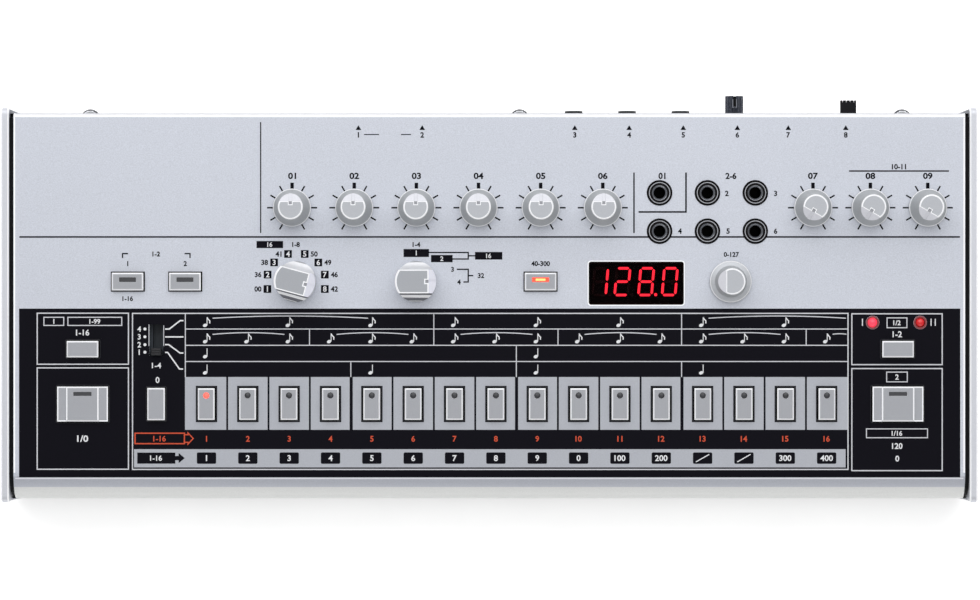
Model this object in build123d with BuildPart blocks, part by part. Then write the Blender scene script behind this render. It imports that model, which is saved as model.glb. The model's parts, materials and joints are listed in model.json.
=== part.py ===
from build123d import *
import os
from math import cos, radians, sin

os.makedirs("parts", exist_ok=True)

# A table-top drum machine: a folded sheet-metal cover over a moulded tray, closed by two cast
# cheeks. X runs to the right, Y to the rear and Z up, in millimetres. The origin is on the table,
# under the middle of the machine. The control panel slopes, so what sits on it is placed by
# (u, w): u to the right of its middle and w up its slope. Heights over its outer face are n.

# ------------------------------------------------------------------ driving dimensions: the case
TILT = 4.0                # slope of the control panel
PANEL_HEIGHT = 36.6       # table to the panel's outer face, half-way along the cheeks
SHEET = 1.2               # cover's sheet metal
COVER_HALF = 150.1        # half of the cover's width
COVER_FRONT = -61.45      # w of the front flange's outer face
COVER_REAR = 60.45        # w of the rear flange's outer face
FRONT_BEND = 8.5          # outer radius of the front bend
REAR_BEND = 1.4           # outer radius of the rear bend
FOOT_HEIGHT = 2.5
FOOT_RADIUS = 5.5
FOOT_BEVEL = 0.6
FOOT_MARGIN = 14.1        # foot's centre from the tray's end
FOOT_INSET = 13.2         # and from its front and rear
TRAY_FLOOR = 2.0
TRAY_WALL = 1.8
TRAY_RIM = 3.5            # height of the rim that shows under the cover
TRAY_BEVEL = 0.8
LIP_DOWN = 24.6           # panel's outer face to the top of the tray's inner walls
CHEEK_SLAB = 2.5          # cheek's outer plate
CHEEK_WEB = 1.4           # width of the groove between plate and cover
CHEEK_PAST_FRONT = 0.95   # plate past the cover's flanges
CHEEK_PAST_REAR = 1.75
CHEEK_PROUD = 1.0         # plate over the panel
CHEEK_LIFT = 3.2          # table to the plate's lower edge
CHEEK_CORNER = 2.0
CHEEK_BEVEL = 0.45
LAP_REACH = 1.4           # wedge that laps the cover's ends, seen from above
LAP_DROP = 1.0            # and how far it starts below the bend
PEG_RADIUS = 2.0
PEG_LENGTH = 3.0

# ------------------------------------------------------------------ driving dimensions: clearances
FIT = 0.2                 # between fixed pieces that nest
CAP_GAP = 0.375           # round a button's cap in its opening
RUNNING = 0.05            # radial, a shaft in its bearing
PRESS = 0.01              # radial, a shaft in its knob
PLUNGER_GAP = 0.15        # radial, a button's plunger in its switch
KNOB_GAP = 0.5            # knob over the panel
SHAFT_GAP = 0.6           # radial, a shaft in the panel, and its end over the board
OVERCUT = 1.0             # a cutting profile past the solid

# ------------------------------------------------------------------ driving dimensions: insides
BOARD = 1.6
BOARD_CORNER = 2.0
BOARD_DEPTH = 8.2         # panel's outer face to the top of the control board
BOARD_MARGIN = 4.6        # control board's ends from the cover's ends
BOARD_INSET = 4.0         # and its edges from the flanges
BOARD_SPACE = 18.7        # between the control board and the jack board
SOCKET_RISE = 8.5         # jack board to the line of the rear sockets
JACK_BOARD_PAST = (13.7, 8.1)  # past the MIDI-in socket and past the power slider
JACK_BOARD_LENGTH = 18.2  # from front to rear
JACK_BOARD_GAP = 0.56
JACK_POST_INSET = 6.0
POST_RADIUS = 3.5
SCREW_RADIUS = 1.5
SCREW_HEAD = 2.9
SCREW_HEAD_RISE = 1.3
SCREW_SUNK = 0.2
CASE_SCREW_LENGTH = 14.0
CASE_SCREW_MARGIN = 22.1  # from the tray's ends
CASE_SCREW_ROWS = (26.2, 32.1)  # from its front and its rear
REAR_SCREW_HEAD = (3.0, 2.15)  # radius and rise of a domed head
REAR_SCREW_LENGTH = 6.0
REAR_TAB = 9.0
REAR_TAB_DEPTH = 4.0

# ------------------------------------------------------------------ driving dimensions: layout of the panel
# margins run from the cover's ends, and spaces from one centre to the next
LEVEL_KNOBS = ["accent", "bass_drum", "snare_drum", "tom", "cymbal", "hihat"]
EFFECT_KNOBS = ["drive", "delay_time", "delay_depth"]
STEP_COUNT = 16
TRIGGER_COLUMNS = 3
LEVEL_MARGIN = 87.9
TRIGGER_SPACE = 17.9      # hi-hat knob to the first sockets
TRIGGER_PITCH = 15.1
TRIGGER_ROW_PITCH = 12.1
EFFECT_SPACE = 18.2       # last sockets to the drive knob
EFFECT_PITCH = 18.1
EFFECT_MARGIN = 11.8
MENU_MARGIN = 36.1
STEP_LOOP_SPACE = 18.1
INSTRUMENT_SPACE = 34.9
MODE_SPACE = 37.9
TEMPO_SPACE = 39.25
DISPLAY_SPACE = 30.2
VALUE_SPACE = 29.75
RUN_MARGIN = 21.9         # run/stop and pattern-clear buttons
FUNCTION_MARGIN = 45.1    # function button and scale slider
STEP_MARGINS = (60.9, 43.7)
TAP_MARGIN = 21.3         # tap and pattern-group buttons
LED_SIDES = (-7.9, 7.1)   # indicator lights beside the pattern-group button
LEVEL_DOWN = 29.85        # rear flange to the level knobs
TRIGGER_RAISE = 4.7       # level knobs to the rear row of sockets
MIDDLE_DOWN = 23.3        # level knobs to the row of the selectors
DISPLAY_DROP = 0.5
STEP_UP = 30.15           # front flange to the step buttons
BAND_UP = 17.3            # step buttons to the pattern buttons
SCALE_UP = 20.15          # step buttons to the scale slider
LED_UP = 8.4

# ------------------------------------------------------------------ driving dimensions: layout of the rear
POWER_MARGIN = 35.2
USB_SPACE = 20.6
VOLUME_SPACE = 15.9
AUDIO_SPACE = 17.2
AUDIO_COUNT = 3
AUDIO_PITCH = 17.1
SCREW_SPACE = 17.3
MIDI_SPACE = 30.9
MIDI_PITCH = 20.1
REAR_SCREW_MARGINS = (22.4, 18.0)

# ------------------------------------------------------------------ driving dimensions: knobs
SHAFT_RADIUS = 3.0
POT_BODY = (9.8, 11.4)
POT_RISE = 6.3
KNOB_EDGE = 0.2           # bevel at a skirt's foot
KNOB_RIM = 0.8            # height of a skirt's upright rim
KNOB_STEP = 0.3           # set-in over that rim
KNOB_BEVEL = 0.25         # bevel round a knob's top
SMALL_KNOB_HEIGHT = 12.0
SMALL_KNOB_RADIUS = 6.0
SMALL_KNOB_TOP = 3.93
VALUE_KNOB_HEIGHT = 10.0
VALUE_FLANGE_RADIUS = 6.6
VALUE_FLANGE_RISE = 0.5
VALUE_KNOB_RADIUS = 5.0
VALUE_KNOB_TOP = 4.15
SELECTOR_HEIGHT = 12.0
SELECTOR_RADIUS = 6.45
SELECTOR_BAR = 7.4
SELECTOR_RIM = 1.6
SELECTOR_BODY = 14.0
SCOOP_BOW = 0.3           # how full the scoops' curve is
FACET_CHORD = 0.455       # of the top's radius, where the pointer facet starts
SELECTOR_CHORD = 0.635
SMALL_SLOPE = 0.9         # drop of the facet for each millimetre outwards
SELECTOR_SLOPE = 1.1
KNOB_CROWN = 2.5          # solid top of a knob over its shaft
POINTER_WIDTH = 1.0
POINTER_DEPTH = 0.3
EFFECT_TURN = -150.0      # these three rest at the low end of their scales
VALUE_TURN = -90.0
INSTRUMENT_TURN = 105.0   # the eighth of its eight places
MODE_TURN = 90.0          # the fourth of its four places

# ------------------------------------------------------------------ driving dimensions: buttons
CAP_PROUD = 1.7
CAP_BEVEL = 0.45
FLANGE_LIP = 0.5          # button's flange past its opening
FLANGE = 0.8
FLANGE_GAP = 0.25
STEM_RADIUS = 1.5
TACT = 6.0
TACT_RISE = 3.5
PLUNGER_REACH = 0.3       # plunger inside its switch at rest
PLUNGER_WELL = 1.6
LIGHT_DEPTH = 0.9
STEP_CAP = (5.3, 10.0)
STEP_LIGHT_RADIUS = 1.0
STEP_LIGHT_W = 2.7        # light towards the rear of its cap
FUNCTION_CAP = (5.6, 10.2)
BIG_CAP = (16.0, 11.0)
BIG_SHOULDER = 2.9        # lower band at each side of a big cap
BIG_SHOULDER_DROP = 0.6
BIG_LIGHT = (5.8, 1.3)
BIG_LIGHT_W = 3.2
BAND_CAP = (10.0, 5.2)
MENU_CAP = (10.0, 5.6)
MENU_LIGHT = (5.4, 1.5)
MENU_LIGHT_W = 0.6

# ------------------------------------------------------------------ driving dimensions: the rest
SCALE_SLOT = (4.4, 10.0)
SCALE_KNOB = (3.3, 2.3)
SCALE_STEM = (2.3, 2.0)
SCALE_TRAVEL = 7.3
SCALE_PROUD = 2.2
SWITCH_WALL = 1.4
SWITCH_RISE = 4.5
GRIP = 0.3                # width and depth of the grooves that a fingertip grips
GRIP_PITCH = 0.75
DISPLAY = (30.0, 13.6)
DISPLAY_CORNER = 0.8
DISPLAY_LEDGE = 1.0
DISPLAY_FLANGE = 0.8
DISPLAY_SUNK = 0.15
DIGIT_BLOCK = (29.0, 12.6)
LED_RADIUS = 1.5
LED_PROUD = 0.8
LED_COLLAR = (0.4, 1.0)   # width and height of the ring at an indicator's foot
TRIGGER_RING = 3.85
TRIGGER_PROUD = 0.5
TRIGGER_BODY = (10.4, 10.8)
PLUG_RADIUS = 1.8         # bore of a 3.5 mm jack
PLUG_BORE = 13.5
JACK_MOUTH = 0.6          # bevel at the mouth of the bore
JACK_END = 0.8
AUDIO_RING = 2.85
AUDIO_PROUD = 1.5
AUDIO_BODY = (9.0, 12.0)
MIDI_PROUD = 0.3
MIDI_SHELL = 7.6
MIDI_SLOT = (6.2, 6.9)
MIDI_SLOT_DEPTH = 8.0
MIDI_BODY = 17.6
MIDI_BODY_DEPTH = 12.4
MIDI_PIN_CIRCLE = 3.75
MIDI_PIN_RADIUS = 0.75
VOLUME_RADIUS = 2.9
VOLUME_REACH = 6.3
VOLUME_SHAFT = 1.75
VOLUME_FLUTES = 14
VOLUME_LINE = 3.6         # pointer line from the knob's end down its side
FLUTE_RADIUS = 0.35
FLUTE_OUT = 0.1           # flute's centre outside the knob's edge
USB_SHELL = (8.0, 3.1)
USB_WALL = 0.35
USB_LENGTH = 5.6
USB_TONGUE = (5.6, 0.7)
POWER_TAB = (5.0, 2.6)
POWER_REACH = 4.95
POWER_TRAVEL = 4.0
POWER_SLOT_MARGIN = 0.4
BAY = (104.0, 31.0)       # battery bay, for two rows of two AA cells
BAY_RISE = 15.5
BAY_WALL = 1.5
LID = 1.7
LID_MARGIN = 4.6          # lid past the bay's walls
LID_GAP = 0.3
LID_TAB = 8.0
LID_TAB_FOOT = 1.2
LID_TAB_REACH = 2.0
LID_TAB_RISE = 1.0
LID_TAB_X = 35.0
LEDGE = 1.5               # shelf over the lid's edge that carries the bay's walls
LATCH = (15.0, 10.0)      # spring tongue between two slots
LATCH_SLOT = 1.0
LATCH_GRIP = (12.0, 5.0)
LATCH_GRIP_DEPTH = 0.7
CONTACT = 0.4
CONTACT_INSET = 2.2
CONTACT_BUTTON = (2.2, 0.8)
SPEAKER_RADIUS = 18.0
SPEAKER_RIM = (3.0, 1.5)
SPEAKER_BASKET = 4.5
SPEAKER_CONE = (5.0, 3.0)  # radius and depth of the cone's flat foot
SPEAKER_MAGNET = (9.0, 9.0)
GRILLE_SLOT = 2.0
GRILLE_PITCH = 4.2
GRILLE_ROWS = 7

# ------------------------------------------------------------------ depths and places worked out from them
SHAFT_END = BOARD_DEPTH - SHAFT_GAP
BOARD_UNDER = -BOARD_DEPTH - BOARD
JACK_BOARD_DEPTH = BOARD_DEPTH + BOARD + BOARD_SPACE
JACK_BOARD_UNDER = -JACK_BOARD_DEPTH - BOARD
REAR_DEPTH = JACK_BOARD_DEPTH - SOCKET_RISE
CHEEK_FRONT = COVER_FRONT - CHEEK_PAST_FRONT
CHEEK_REAR = COVER_REAR + CHEEK_PAST_REAR
BOARD_HALF = COVER_HALF - BOARD_MARGIN
BOARD_W = (COVER_FRONT + BOARD_INSET, COVER_REAR - BOARD_INSET)

RUN_U = RUN_MARGIN - COVER_HALF
FUNCTION_U = FUNCTION_MARGIN - COVER_HALF
TAP_U = COVER_HALF - TAP_MARGIN
STEP_U = STEP_MARGINS[0] - COVER_HALF
STEP_PITCH = (COVER_HALF - STEP_MARGINS[1] - STEP_U) / (STEP_COUNT - 1)
EFFECT_U = COVER_HALF - EFFECT_MARGIN - (len(EFFECT_KNOBS) - 1) * EFFECT_PITCH
TRIGGER_U = EFFECT_U - EFFECT_SPACE - (TRIGGER_COLUMNS - 1) * TRIGGER_PITCH
LEVEL_U = LEVEL_MARGIN - COVER_HALF
LEVEL_PITCH = (TRIGGER_U - TRIGGER_SPACE - LEVEL_U) / (len(LEVEL_KNOBS) - 1)
MENU_U = MENU_MARGIN - COVER_HALF
STEP_LOOP_U = MENU_U + STEP_LOOP_SPACE
INSTRUMENT_U = STEP_LOOP_U + INSTRUMENT_SPACE
MODE_U = INSTRUMENT_U + MODE_SPACE
TEMPO_U = MODE_U + TEMPO_SPACE
DISPLAY_U = TEMPO_U + DISPLAY_SPACE
VALUE_U = DISPLAY_U + VALUE_SPACE
LEVEL_W = COVER_REAR - LEVEL_DOWN
MIDDLE_W = LEVEL_W - MIDDLE_DOWN
DISPLAY_W = MIDDLE_W - DISPLAY_DROP
STEP_W = COVER_FRONT + STEP_UP
BAND_W = STEP_W + BAND_UP
SCALE_W = STEP_W + SCALE_UP
LED_W = BAND_W + LED_UP

POWER_U = COVER_HALF - POWER_MARGIN
USB_U = POWER_U - USB_SPACE
VOLUME_U = USB_U - VOLUME_SPACE
AUDIO_U = [VOLUME_U - AUDIO_SPACE - i * AUDIO_PITCH for i in reversed(range(AUDIO_COUNT))]
REAR_SCREWS = [
    REAR_SCREW_MARGINS[0] - COVER_HALF, AUDIO_U[0] - SCREW_SPACE, COVER_HALF - REAR_SCREW_MARGINS[1]
]
MIDI_U = [REAR_SCREWS[1] - MIDI_SPACE - MIDI_PITCH, REAR_SCREWS[1] - MIDI_SPACE]
JACK_BOARD_U = (MIDI_U[0] - JACK_BOARD_PAST[0], POWER_U + JACK_BOARD_PAST[1])
jack_board_rear = COVER_REAR - SHEET - FIT - REAR_TAB_DEPTH - JACK_BOARD_GAP
JACK_BOARD_W = (jack_board_rear - JACK_BOARD_LENGTH, jack_board_rear)

# ------------------------------------------------------------------ planes
RISE = sin(radians(TILT))
RUN = cos(radians(TILT))

# the front of the cheeks and the tip of the volume knob reach as far from the origin
front_reach = (CHEEK_FRONT + CHEEK_CORNER) * RUN + (CHEEK_CORNER - CHEEK_PROUD) * RISE - CHEEK_CORNER
rear_reach = (COVER_REAR + VOLUME_REACH) * RUN + (REAR_DEPTH + VOLUME_RADIUS) * RISE
PANEL_Y = -(front_reach + rear_reach) / 2

PANEL = Plane(origin=(0, PANEL_Y, PANEL_HEIGHT), x_dir=(1, 0, 0), z_dir=(0, -RISE, RUN))
SIDE = Plane(origin=PANEL.origin, x_dir=PANEL.y_dir, z_dir=(1, 0, 0))
REAR = Plane(
    origin=PANEL.from_local_coords((0, COVER_REAR, -REAR_DEPTH)), x_dir=(-1, 0, 0), z_dir=PANEL.y_dir
)
UP = Axis((0, 0, 0), PANEL.z_dir)
BACK = Axis((0, 0, 0), PANEL.y_dir)
SEAM = FOOT_HEIGHT + TRAY_RIM
DEEP = 60.0               # longer than the case is high


def spot(u, w, turn=0.0):
    """Plane on the panel's outer face at (u, w), turned clockwise."""
    centre = PANEL.from_local_coords((u, w, 0))
    return Plane(origin=centre, x_dir=PANEL.x_dir.rotate(UP, -turn), z_dir=PANEL.z_dir)


def rear_spot(u, n=-REAR_DEPTH):
    """Plane on the rear flange's outer face at u and n."""
    centre = PANEL.from_local_coords((u, COVER_REAR, n))
    return Plane(origin=centre, x_dir=REAR.x_dir, z_dir=REAR.z_dir)


def upright(plane):
    """The plane's own x against its normal, for profiles that turn about that normal."""
    return Plane(origin=plane.origin, x_dir=plane.x_dir, z_dir=-plane.y_dir)


def across(plane):
    """The plane's own y against its normal, for profiles of a pointer facet."""
    return Plane(origin=plane.origin, x_dir=plane.y_dir, z_dir=plane.x_dir)


def depth_at(z, w):
    """n of the point that is z over the table at w."""
    return (z - PANEL_HEIGHT - w * RISE) / RUN


def y_at(w, n):
    return PANEL_Y + w * RUN - n * RISE


def save(node, name):
    node.part.label = name
    export_step(node.part, f"parts/{name}.step")


level_spots = [(LEVEL_U + i * LEVEL_PITCH, LEVEL_W) for i in range(len(LEVEL_KNOBS))]
effect_spots = [(EFFECT_U + i * EFFECT_PITCH, LEVEL_W) for i in range(len(EFFECT_KNOBS))]
small_spots = level_spots + effect_spots
large_spots = [(u, MIDDLE_W) for u in (VALUE_U, INSTRUMENT_U, MODE_U)]
trigger_rows = (LEVEL_W + TRIGGER_RAISE, LEVEL_W + TRIGGER_RAISE - TRIGGER_ROW_PITCH)
trigger_spots = [(TRIGGER_U + i * TRIGGER_PITCH, w) for w in trigger_rows for i in range(TRIGGER_COLUMNS)]
led_spots = [(TAP_U + side, LED_W) for side in LED_SIDES]
audio_spots = [(-u, 0) for u in AUDIO_U]
midi_spots = [(-u, 0) for u in MIDI_U]
rear_screw_spots = [(-u, 0) for u in REAR_SCREWS]
step_spots = [(STEP_U + i * STEP_PITCH, STEP_W) for i in range(STEP_COUNT)]

# name, place and cap of every push button
BUTTONS = [(f"step_button_{i + 1:02d}", place, STEP_CAP) for i, place in enumerate(step_spots)]
BUTTONS += [
    ("run_stop_button", (RUN_U, STEP_W), BIG_CAP),
    ("tap_button", (TAP_U, STEP_W), BIG_CAP),
    ("pattern_clear_button", (RUN_U, BAND_W), BAND_CAP),
    ("pattern_group_button", (TAP_U, BAND_W), BAND_CAP),
    ("function_button", (FUNCTION_U, STEP_W), FUNCTION_CAP),
    ("menu_button", (MENU_U, MIDDLE_W), MENU_CAP),
    ("step_loop_button", (STEP_LOOP_U, MIDDLE_W), MENU_CAP),
    ("tempo_button", (TEMPO_U, MIDDLE_W), MENU_CAP),
]
power_slot_u = POWER_U - POWER_TRAVEL / 2
power_slot = (POWER_TAB[0] + POWER_TRAVEL + 2 * POWER_SLOT_MARGIN, POWER_TAB[1] + 2 * POWER_SLOT_MARGIN)

# ------------------------------------------------------------------ the folded cover
with BuildPart() as top_cover:
    with BuildSketch(SIDE):
        with BuildLine():
            FilletPolyline(
                (COVER_REAR, -DEEP), (COVER_REAR, 0), (COVER_FRONT, 0), (COVER_FRONT, -DEEP),
                radius=[0, REAR_BEND, FRONT_BEND, 0], close=True,
            )
        make_face()
        with BuildLine():
            FilletPolyline(
                (COVER_REAR - SHEET, -DEEP), (COVER_REAR - SHEET, -SHEET),
                (COVER_FRONT + SHEET, -SHEET), (COVER_FRONT + SHEET, -DEEP),
                radius=[0, REAR_BEND - SHEET, FRONT_BEND - SHEET, 0], close=True,
            )
        make_face(mode=Mode.SUBTRACT)
    extrude(amount=COVER_HALF, both=True)
    split(bisect_by=Plane.XY.offset(SEAM), keep=Keep.TOP)
    # openings of the control panel
    with BuildSketch(PANEL):
        with Locations(*small_spots, *large_spots):
            Circle(SHAFT_RADIUS + SHAFT_GAP)
        with Locations(*trigger_spots):
            Circle(TRIGGER_RING + FIT)
        with Locations(*led_spots):
            Circle(LED_RADIUS + FIT)
        for _, place, cap in BUTTONS:
            with Locations(place):
                Rectangle(cap[0] + 2 * CAP_GAP, cap[1] + 2 * CAP_GAP)
        with Locations((FUNCTION_U, SCALE_W)):
            Rectangle(*SCALE_SLOT)
        with Locations((DISPLAY_U, DISPLAY_W)):
            RectangleRounded(DISPLAY[0] + FIT, DISPLAY[1] + FIT, DISPLAY_CORNER)
    extrude(amount=-2 * SHEET, mode=Mode.SUBTRACT)
    # openings of the rear flange
    with BuildSketch(REAR):
        with Locations(*audio_spots):
            Circle(AUDIO_RING + FIT)
        with Locations(*midi_spots):
            Circle(MIDI_SHELL + FIT)
        with Locations((-VOLUME_U, 0)):
            Circle(VOLUME_SHAFT + 2 * FIT)
        with Locations(*rear_screw_spots):
            Circle(SCREW_RADIUS + FIT)
        with Locations((-power_slot_u, 0)):
            Rectangle(*power_slot)
        with Locations((-USB_U, REAR_DEPTH - JACK_BOARD_DEPTH + USB_SHELL[1] / 2)):
            Rectangle(USB_SHELL[0] + 2 * FIT, USB_SHELL[1] + 2 * FIT)
    extrude(amount=-2 * SHEET, mode=Mode.SUBTRACT)
save(top_cover, "top_cover")


# ------------------------------------------------------------------ the moulded tray
tray_front = y_at(COVER_FRONT, depth_at(SEAM, COVER_FRONT))
tray_rear = y_at(COVER_REAR, depth_at(SEAM, COVER_REAR))
lip_top = PANEL_HEIGHT - LIP_DOWN
lip_front = y_at(COVER_FRONT + SHEET, depth_at(SEAM, COVER_FRONT)) + FIT
lip_rear = y_at(COVER_REAR - SHEET, depth_at(lip_top, COVER_REAR)) - FIT
screw_x = COVER_HALF - CASE_SCREW_MARGIN
screw_rows = (tray_front + CASE_SCREW_ROWS[0], tray_rear - CASE_SCREW_ROWS[1])
case_screw_spots = [(x, y) for y in screw_rows for x in (-screw_x, 0, screw_x)]
foot_x = COVER_HALF - FOOT_MARGIN
foot_rows = (tray_front + FOOT_INSET, tray_rear - FOOT_INSET)
BAY_Y = sum(screw_rows) / 2
bay_outer = (BAY[0] + 2 * BAY_WALL, BAY[1] + 2 * BAY_WALL)
lid_size = (bay_outer[0] + 2 * LID_MARGIN, bay_outer[1] + 2 * LID_MARGIN)
floor_top = FOOT_HEIGHT + TRAY_FLOOR
bay_top = floor_top + BAY_RISE
tab_room = LID_MARGIN + LID_TAB_REACH + 2 * LID_GAP
ledge_size = [side + 2 * (LID_GAP + LEDGE) for side in lid_size]
speaker_x = (ledge_size[0] / 2 + COVER_HALF - TRAY_WALL) / 2

with BuildPart() as control_posts:
    with BuildSketch(Plane.XY.offset(FOOT_HEIGHT)):
        with Locations(*case_screw_spots):
            Circle(POST_RADIUS)
    extrude(amount=DEEP)
    split(bisect_by=PANEL.offset(BOARD_UNDER), keep=Keep.BOTTOM)

jack_posts_y = y_at(sum(JACK_BOARD_W) / 2, JACK_BOARD_UNDER)
jack_posts_u = (JACK_BOARD_U[0] + JACK_POST_INSET, REAR_SCREWS[1], JACK_BOARD_U[1] - JACK_POST_INSET)
with BuildPart() as jack_posts:
    with BuildSketch(Plane.XY.offset(FOOT_HEIGHT)):
        with Locations(*[(u, jack_posts_y) for u in jack_posts_u]):
            Circle(POST_RADIUS)
    extrude(amount=DEEP)
    split(bisect_by=PANEL.offset(JACK_BOARD_UNDER), keep=Keep.BOTTOM)

with BuildPart() as bottom_case:
    # rim and floor, with the cover's flanges standing on the rim
    with BuildSketch(Plane.XY.offset(FOOT_HEIGHT)):
        with Locations((0, (tray_front + tray_rear) / 2)):
            Rectangle(2 * COVER_HALF, tray_rear - tray_front)
    extrude(amount=TRAY_RIM)
    chamfer(bottom_case.faces().sort_by(Axis.Z)[0].edges(), length=TRAY_BEVEL)
    # low inner walls behind the flanges
    with BuildSketch(Plane.XY.offset(SEAM)):
        with Locations((0, (lip_front + lip_rear) / 2)):
            Rectangle(2 * (COVER_HALF - TRAY_WALL), lip_rear - lip_front)
    extrude(amount=lip_top - SEAM)
    with BuildSketch(Plane.XY.offset(floor_top)):
        with Locations((0, (lip_front + lip_rear) / 2)):
            Rectangle(2 * (COVER_HALF - TRAY_WALL), lip_rear - lip_front - 2 * TRAY_WALL)
    extrude(amount=DEEP, mode=Mode.SUBTRACT)
    # end walls that fill the cover's open ends
    for end in (-1, 1):
        with BuildSketch(SIDE.offset(end * (COVER_HALF - TRAY_WALL / 2))):
            with BuildLine():
                FilletPolyline(
                    (COVER_REAR - SHEET - FIT, -DEEP), (COVER_REAR - SHEET - FIT, -SHEET - FIT),
                    (COVER_FRONT + SHEET + FIT, -SHEET - FIT), (COVER_FRONT + SHEET + FIT, -DEEP),
                    radius=[0, REAR_BEND, FRONT_BEND - SHEET, 0], close=True,
                )
            make_face()
            with Locations(*[(w, -BOARD_DEPTH - 2 * PEG_RADIUS) for w in BOARD_W]):
                Circle(PEG_RADIUS + FIT, mode=Mode.SUBTRACT)
        extrude(amount=TRAY_WALL / 2, both=True)
    split(bisect_by=Plane.XY.offset(FOOT_HEIGHT), keep=Keep.TOP)
    # posts under both boards, and tabs behind the rear screws
    add(control_posts.part)
    add(jack_posts.part)
    for u in REAR_SCREWS:
        tab_foot = depth_at(floor_top, COVER_REAR)
        tab_head = -REAR_DEPTH + REAR_TAB / 2
        with BuildSketch(rear_spot(u, (tab_foot + tab_head) / 2).offset(-SHEET - FIT)):
            Rectangle(REAR_TAB, tab_head - tab_foot)
        extrude(amount=-REAR_TAB_DEPTH)
    with BuildSketch(REAR):
        with Locations(*rear_screw_spots):
            Circle(SCREW_RADIUS + FIT / 2)
    extrude(amount=-REAR_SCREW_LENGTH - FIT, mode=Mode.SUBTRACT)
    with BuildSketch(Plane.XY.offset(FOOT_HEIGHT)):
        with Locations(*case_screw_spots):
            Circle(SCREW_RADIUS + FIT / 2)
    extrude(amount=CASE_SCREW_LENGTH + FIT, mode=Mode.SUBTRACT)
    with BuildSketch(Plane.XY.offset(FOOT_HEIGHT)):
        with Locations(*case_screw_spots):
            Circle(SCREW_HEAD + FIT)
    extrude(amount=SCREW_HEAD_RISE, mode=Mode.SUBTRACT)
    # battery bay, open below, on a shelf that the lid's tabs reach past
    with BuildSketch(Plane.XY.offset(floor_top)):
        with Locations((0, BAY_Y)):
            Rectangle(*ledge_size)
    extrude(amount=LEDGE)
    with BuildSketch(Plane.XY.offset(floor_top)):
        with Locations(*[(x, BAY_Y + (bay_outer[1] + tab_room) / 2) for x in (-LID_TAB_X, LID_TAB_X)]):
            Rectangle(LID_TAB + 2 * LID_GAP, tab_room)
    extrude(amount=LEDGE, mode=Mode.SUBTRACT)
    with BuildSketch(Plane.XY.offset(floor_top)):
        with Locations((0, BAY_Y)):
            Rectangle(*bay_outer)
    extrude(amount=BAY_RISE + BAY_WALL)
    with BuildSketch(Plane.XY.offset(FOOT_HEIGHT)):
        with Locations((0, BAY_Y)):
            Rectangle(*BAY)
    extrude(amount=bay_top - FOOT_HEIGHT, mode=Mode.SUBTRACT)
    with BuildSketch(Plane.XY.offset(FOOT_HEIGHT)):
        with Locations((0, BAY_Y)):
            Rectangle(lid_size[0] + 2 * LID_GAP, lid_size[1] + 2 * LID_GAP)
    extrude(amount=TRAY_FLOOR, mode=Mode.SUBTRACT)
    # speaker grille: slots that shorten towards its edge
    with BuildSketch(Plane.XY.offset(FOOT_HEIGHT)):
        for row in range(GRILLE_ROWS):
            shift = (row - (GRILLE_ROWS - 1) / 2) * GRILLE_PITCH
            half_chord = ((SPEAKER_RADIUS - GRILLE_SLOT) ** 2 - shift**2) ** 0.5
            with Locations((speaker_x, BAY_Y + shift)):
                SlotOverall(2 * half_chord, GRILLE_SLOT)
    extrude(amount=TRAY_FLOOR, mode=Mode.SUBTRACT)
save(bottom_case, "bottom_case")


# ------------------------------------------------------------------ the cheeks
def cheek(end):
    """End plate, standing off the cover by a groove; end is -1 at the left and 1 at the right."""
    slab_face = SIDE if end > 0 else Plane(SIDE.origin, x_dir=SIDE.x_dir, z_dir=-SIDE.z_dir)
    mirror_n = 1 if end > 0 else -1
    web_front = COVER_FRONT + SHEET
    web_rear = COVER_REAR - SHEET
    with BuildPart() as plate:
        with BuildSketch(slab_face.offset(COVER_HALF + CHEEK_WEB)):
            with BuildLine():
                FilletPolyline(
                    (CHEEK_FRONT, mirror_n * depth_at(CHEEK_LIFT, CHEEK_FRONT)),
                    (CHEEK_REAR, mirror_n * depth_at(CHEEK_LIFT, CHEEK_REAR)),
                    (CHEEK_REAR, mirror_n * CHEEK_PROUD), (CHEEK_FRONT, mirror_n * CHEEK_PROUD),
                    radius=CHEEK_CORNER, close=True,
                )
            make_face()
        extrude(amount=CHEEK_SLAB)
        both_sides = plate.faces().filter_by(slab_face)
        chamfer(both_sides[0].edges() + both_sides[1].edges(), length=CHEEK_BEVEL)
        # web against the cover's end, one sheet inside the cover's outline
        with BuildSketch(slab_face.offset(COVER_HALF)):
            with BuildLine():
                FilletPolyline(
                    (web_front, mirror_n * depth_at(SEAM, web_front)),
                    (web_rear, mirror_n * depth_at(SEAM, web_rear)),
                    (web_rear, -mirror_n * SHEET), (web_front, -mirror_n * SHEET),
                    radius=[0, 0, REAR_BEND - SHEET, FRONT_BEND - SHEET], close=True,
                )
            make_face()
        extrude(amount=CHEEK_WEB)
        # wedges that lap the ends of both flanges
        inner = COVER_HALF + CHEEK_WEB
        lap = inner - LAP_REACH - CHEEK_WEB
        for flange, edge, drop in (
            (COVER_REAR, CHEEK_REAR, REAR_BEND + FIT),
            (COVER_FRONT, CHEEK_FRONT, FRONT_BEND),
        ):
            side = 1 if edge > 0 else -1
            with BuildSketch(PANEL.offset(-drop - LAP_DROP)):
                with BuildLine():
                    Polyline(
                        (end * inner, flange), (end * inner, edge - side * CHEEK_BEVEL),
                        (end * lap, flange), close=True,
                    )
                make_face()
            extrude(amount=depth_at(SEAM + CHEEK_CORNER, flange) + drop + LAP_DROP)
        # pegs into the tray's end walls
        with BuildSketch(slab_face.offset(COVER_HALF)):
            with Locations(*[(w, mirror_n * (-BOARD_DEPTH - 2 * PEG_RADIUS)) for w in BOARD_W]):
                Circle(PEG_RADIUS)
        extrude(amount=-PEG_LENGTH)
    return plate


save(cheek(-1), "left_cheek")
save(cheek(1), "right_cheek")

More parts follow.
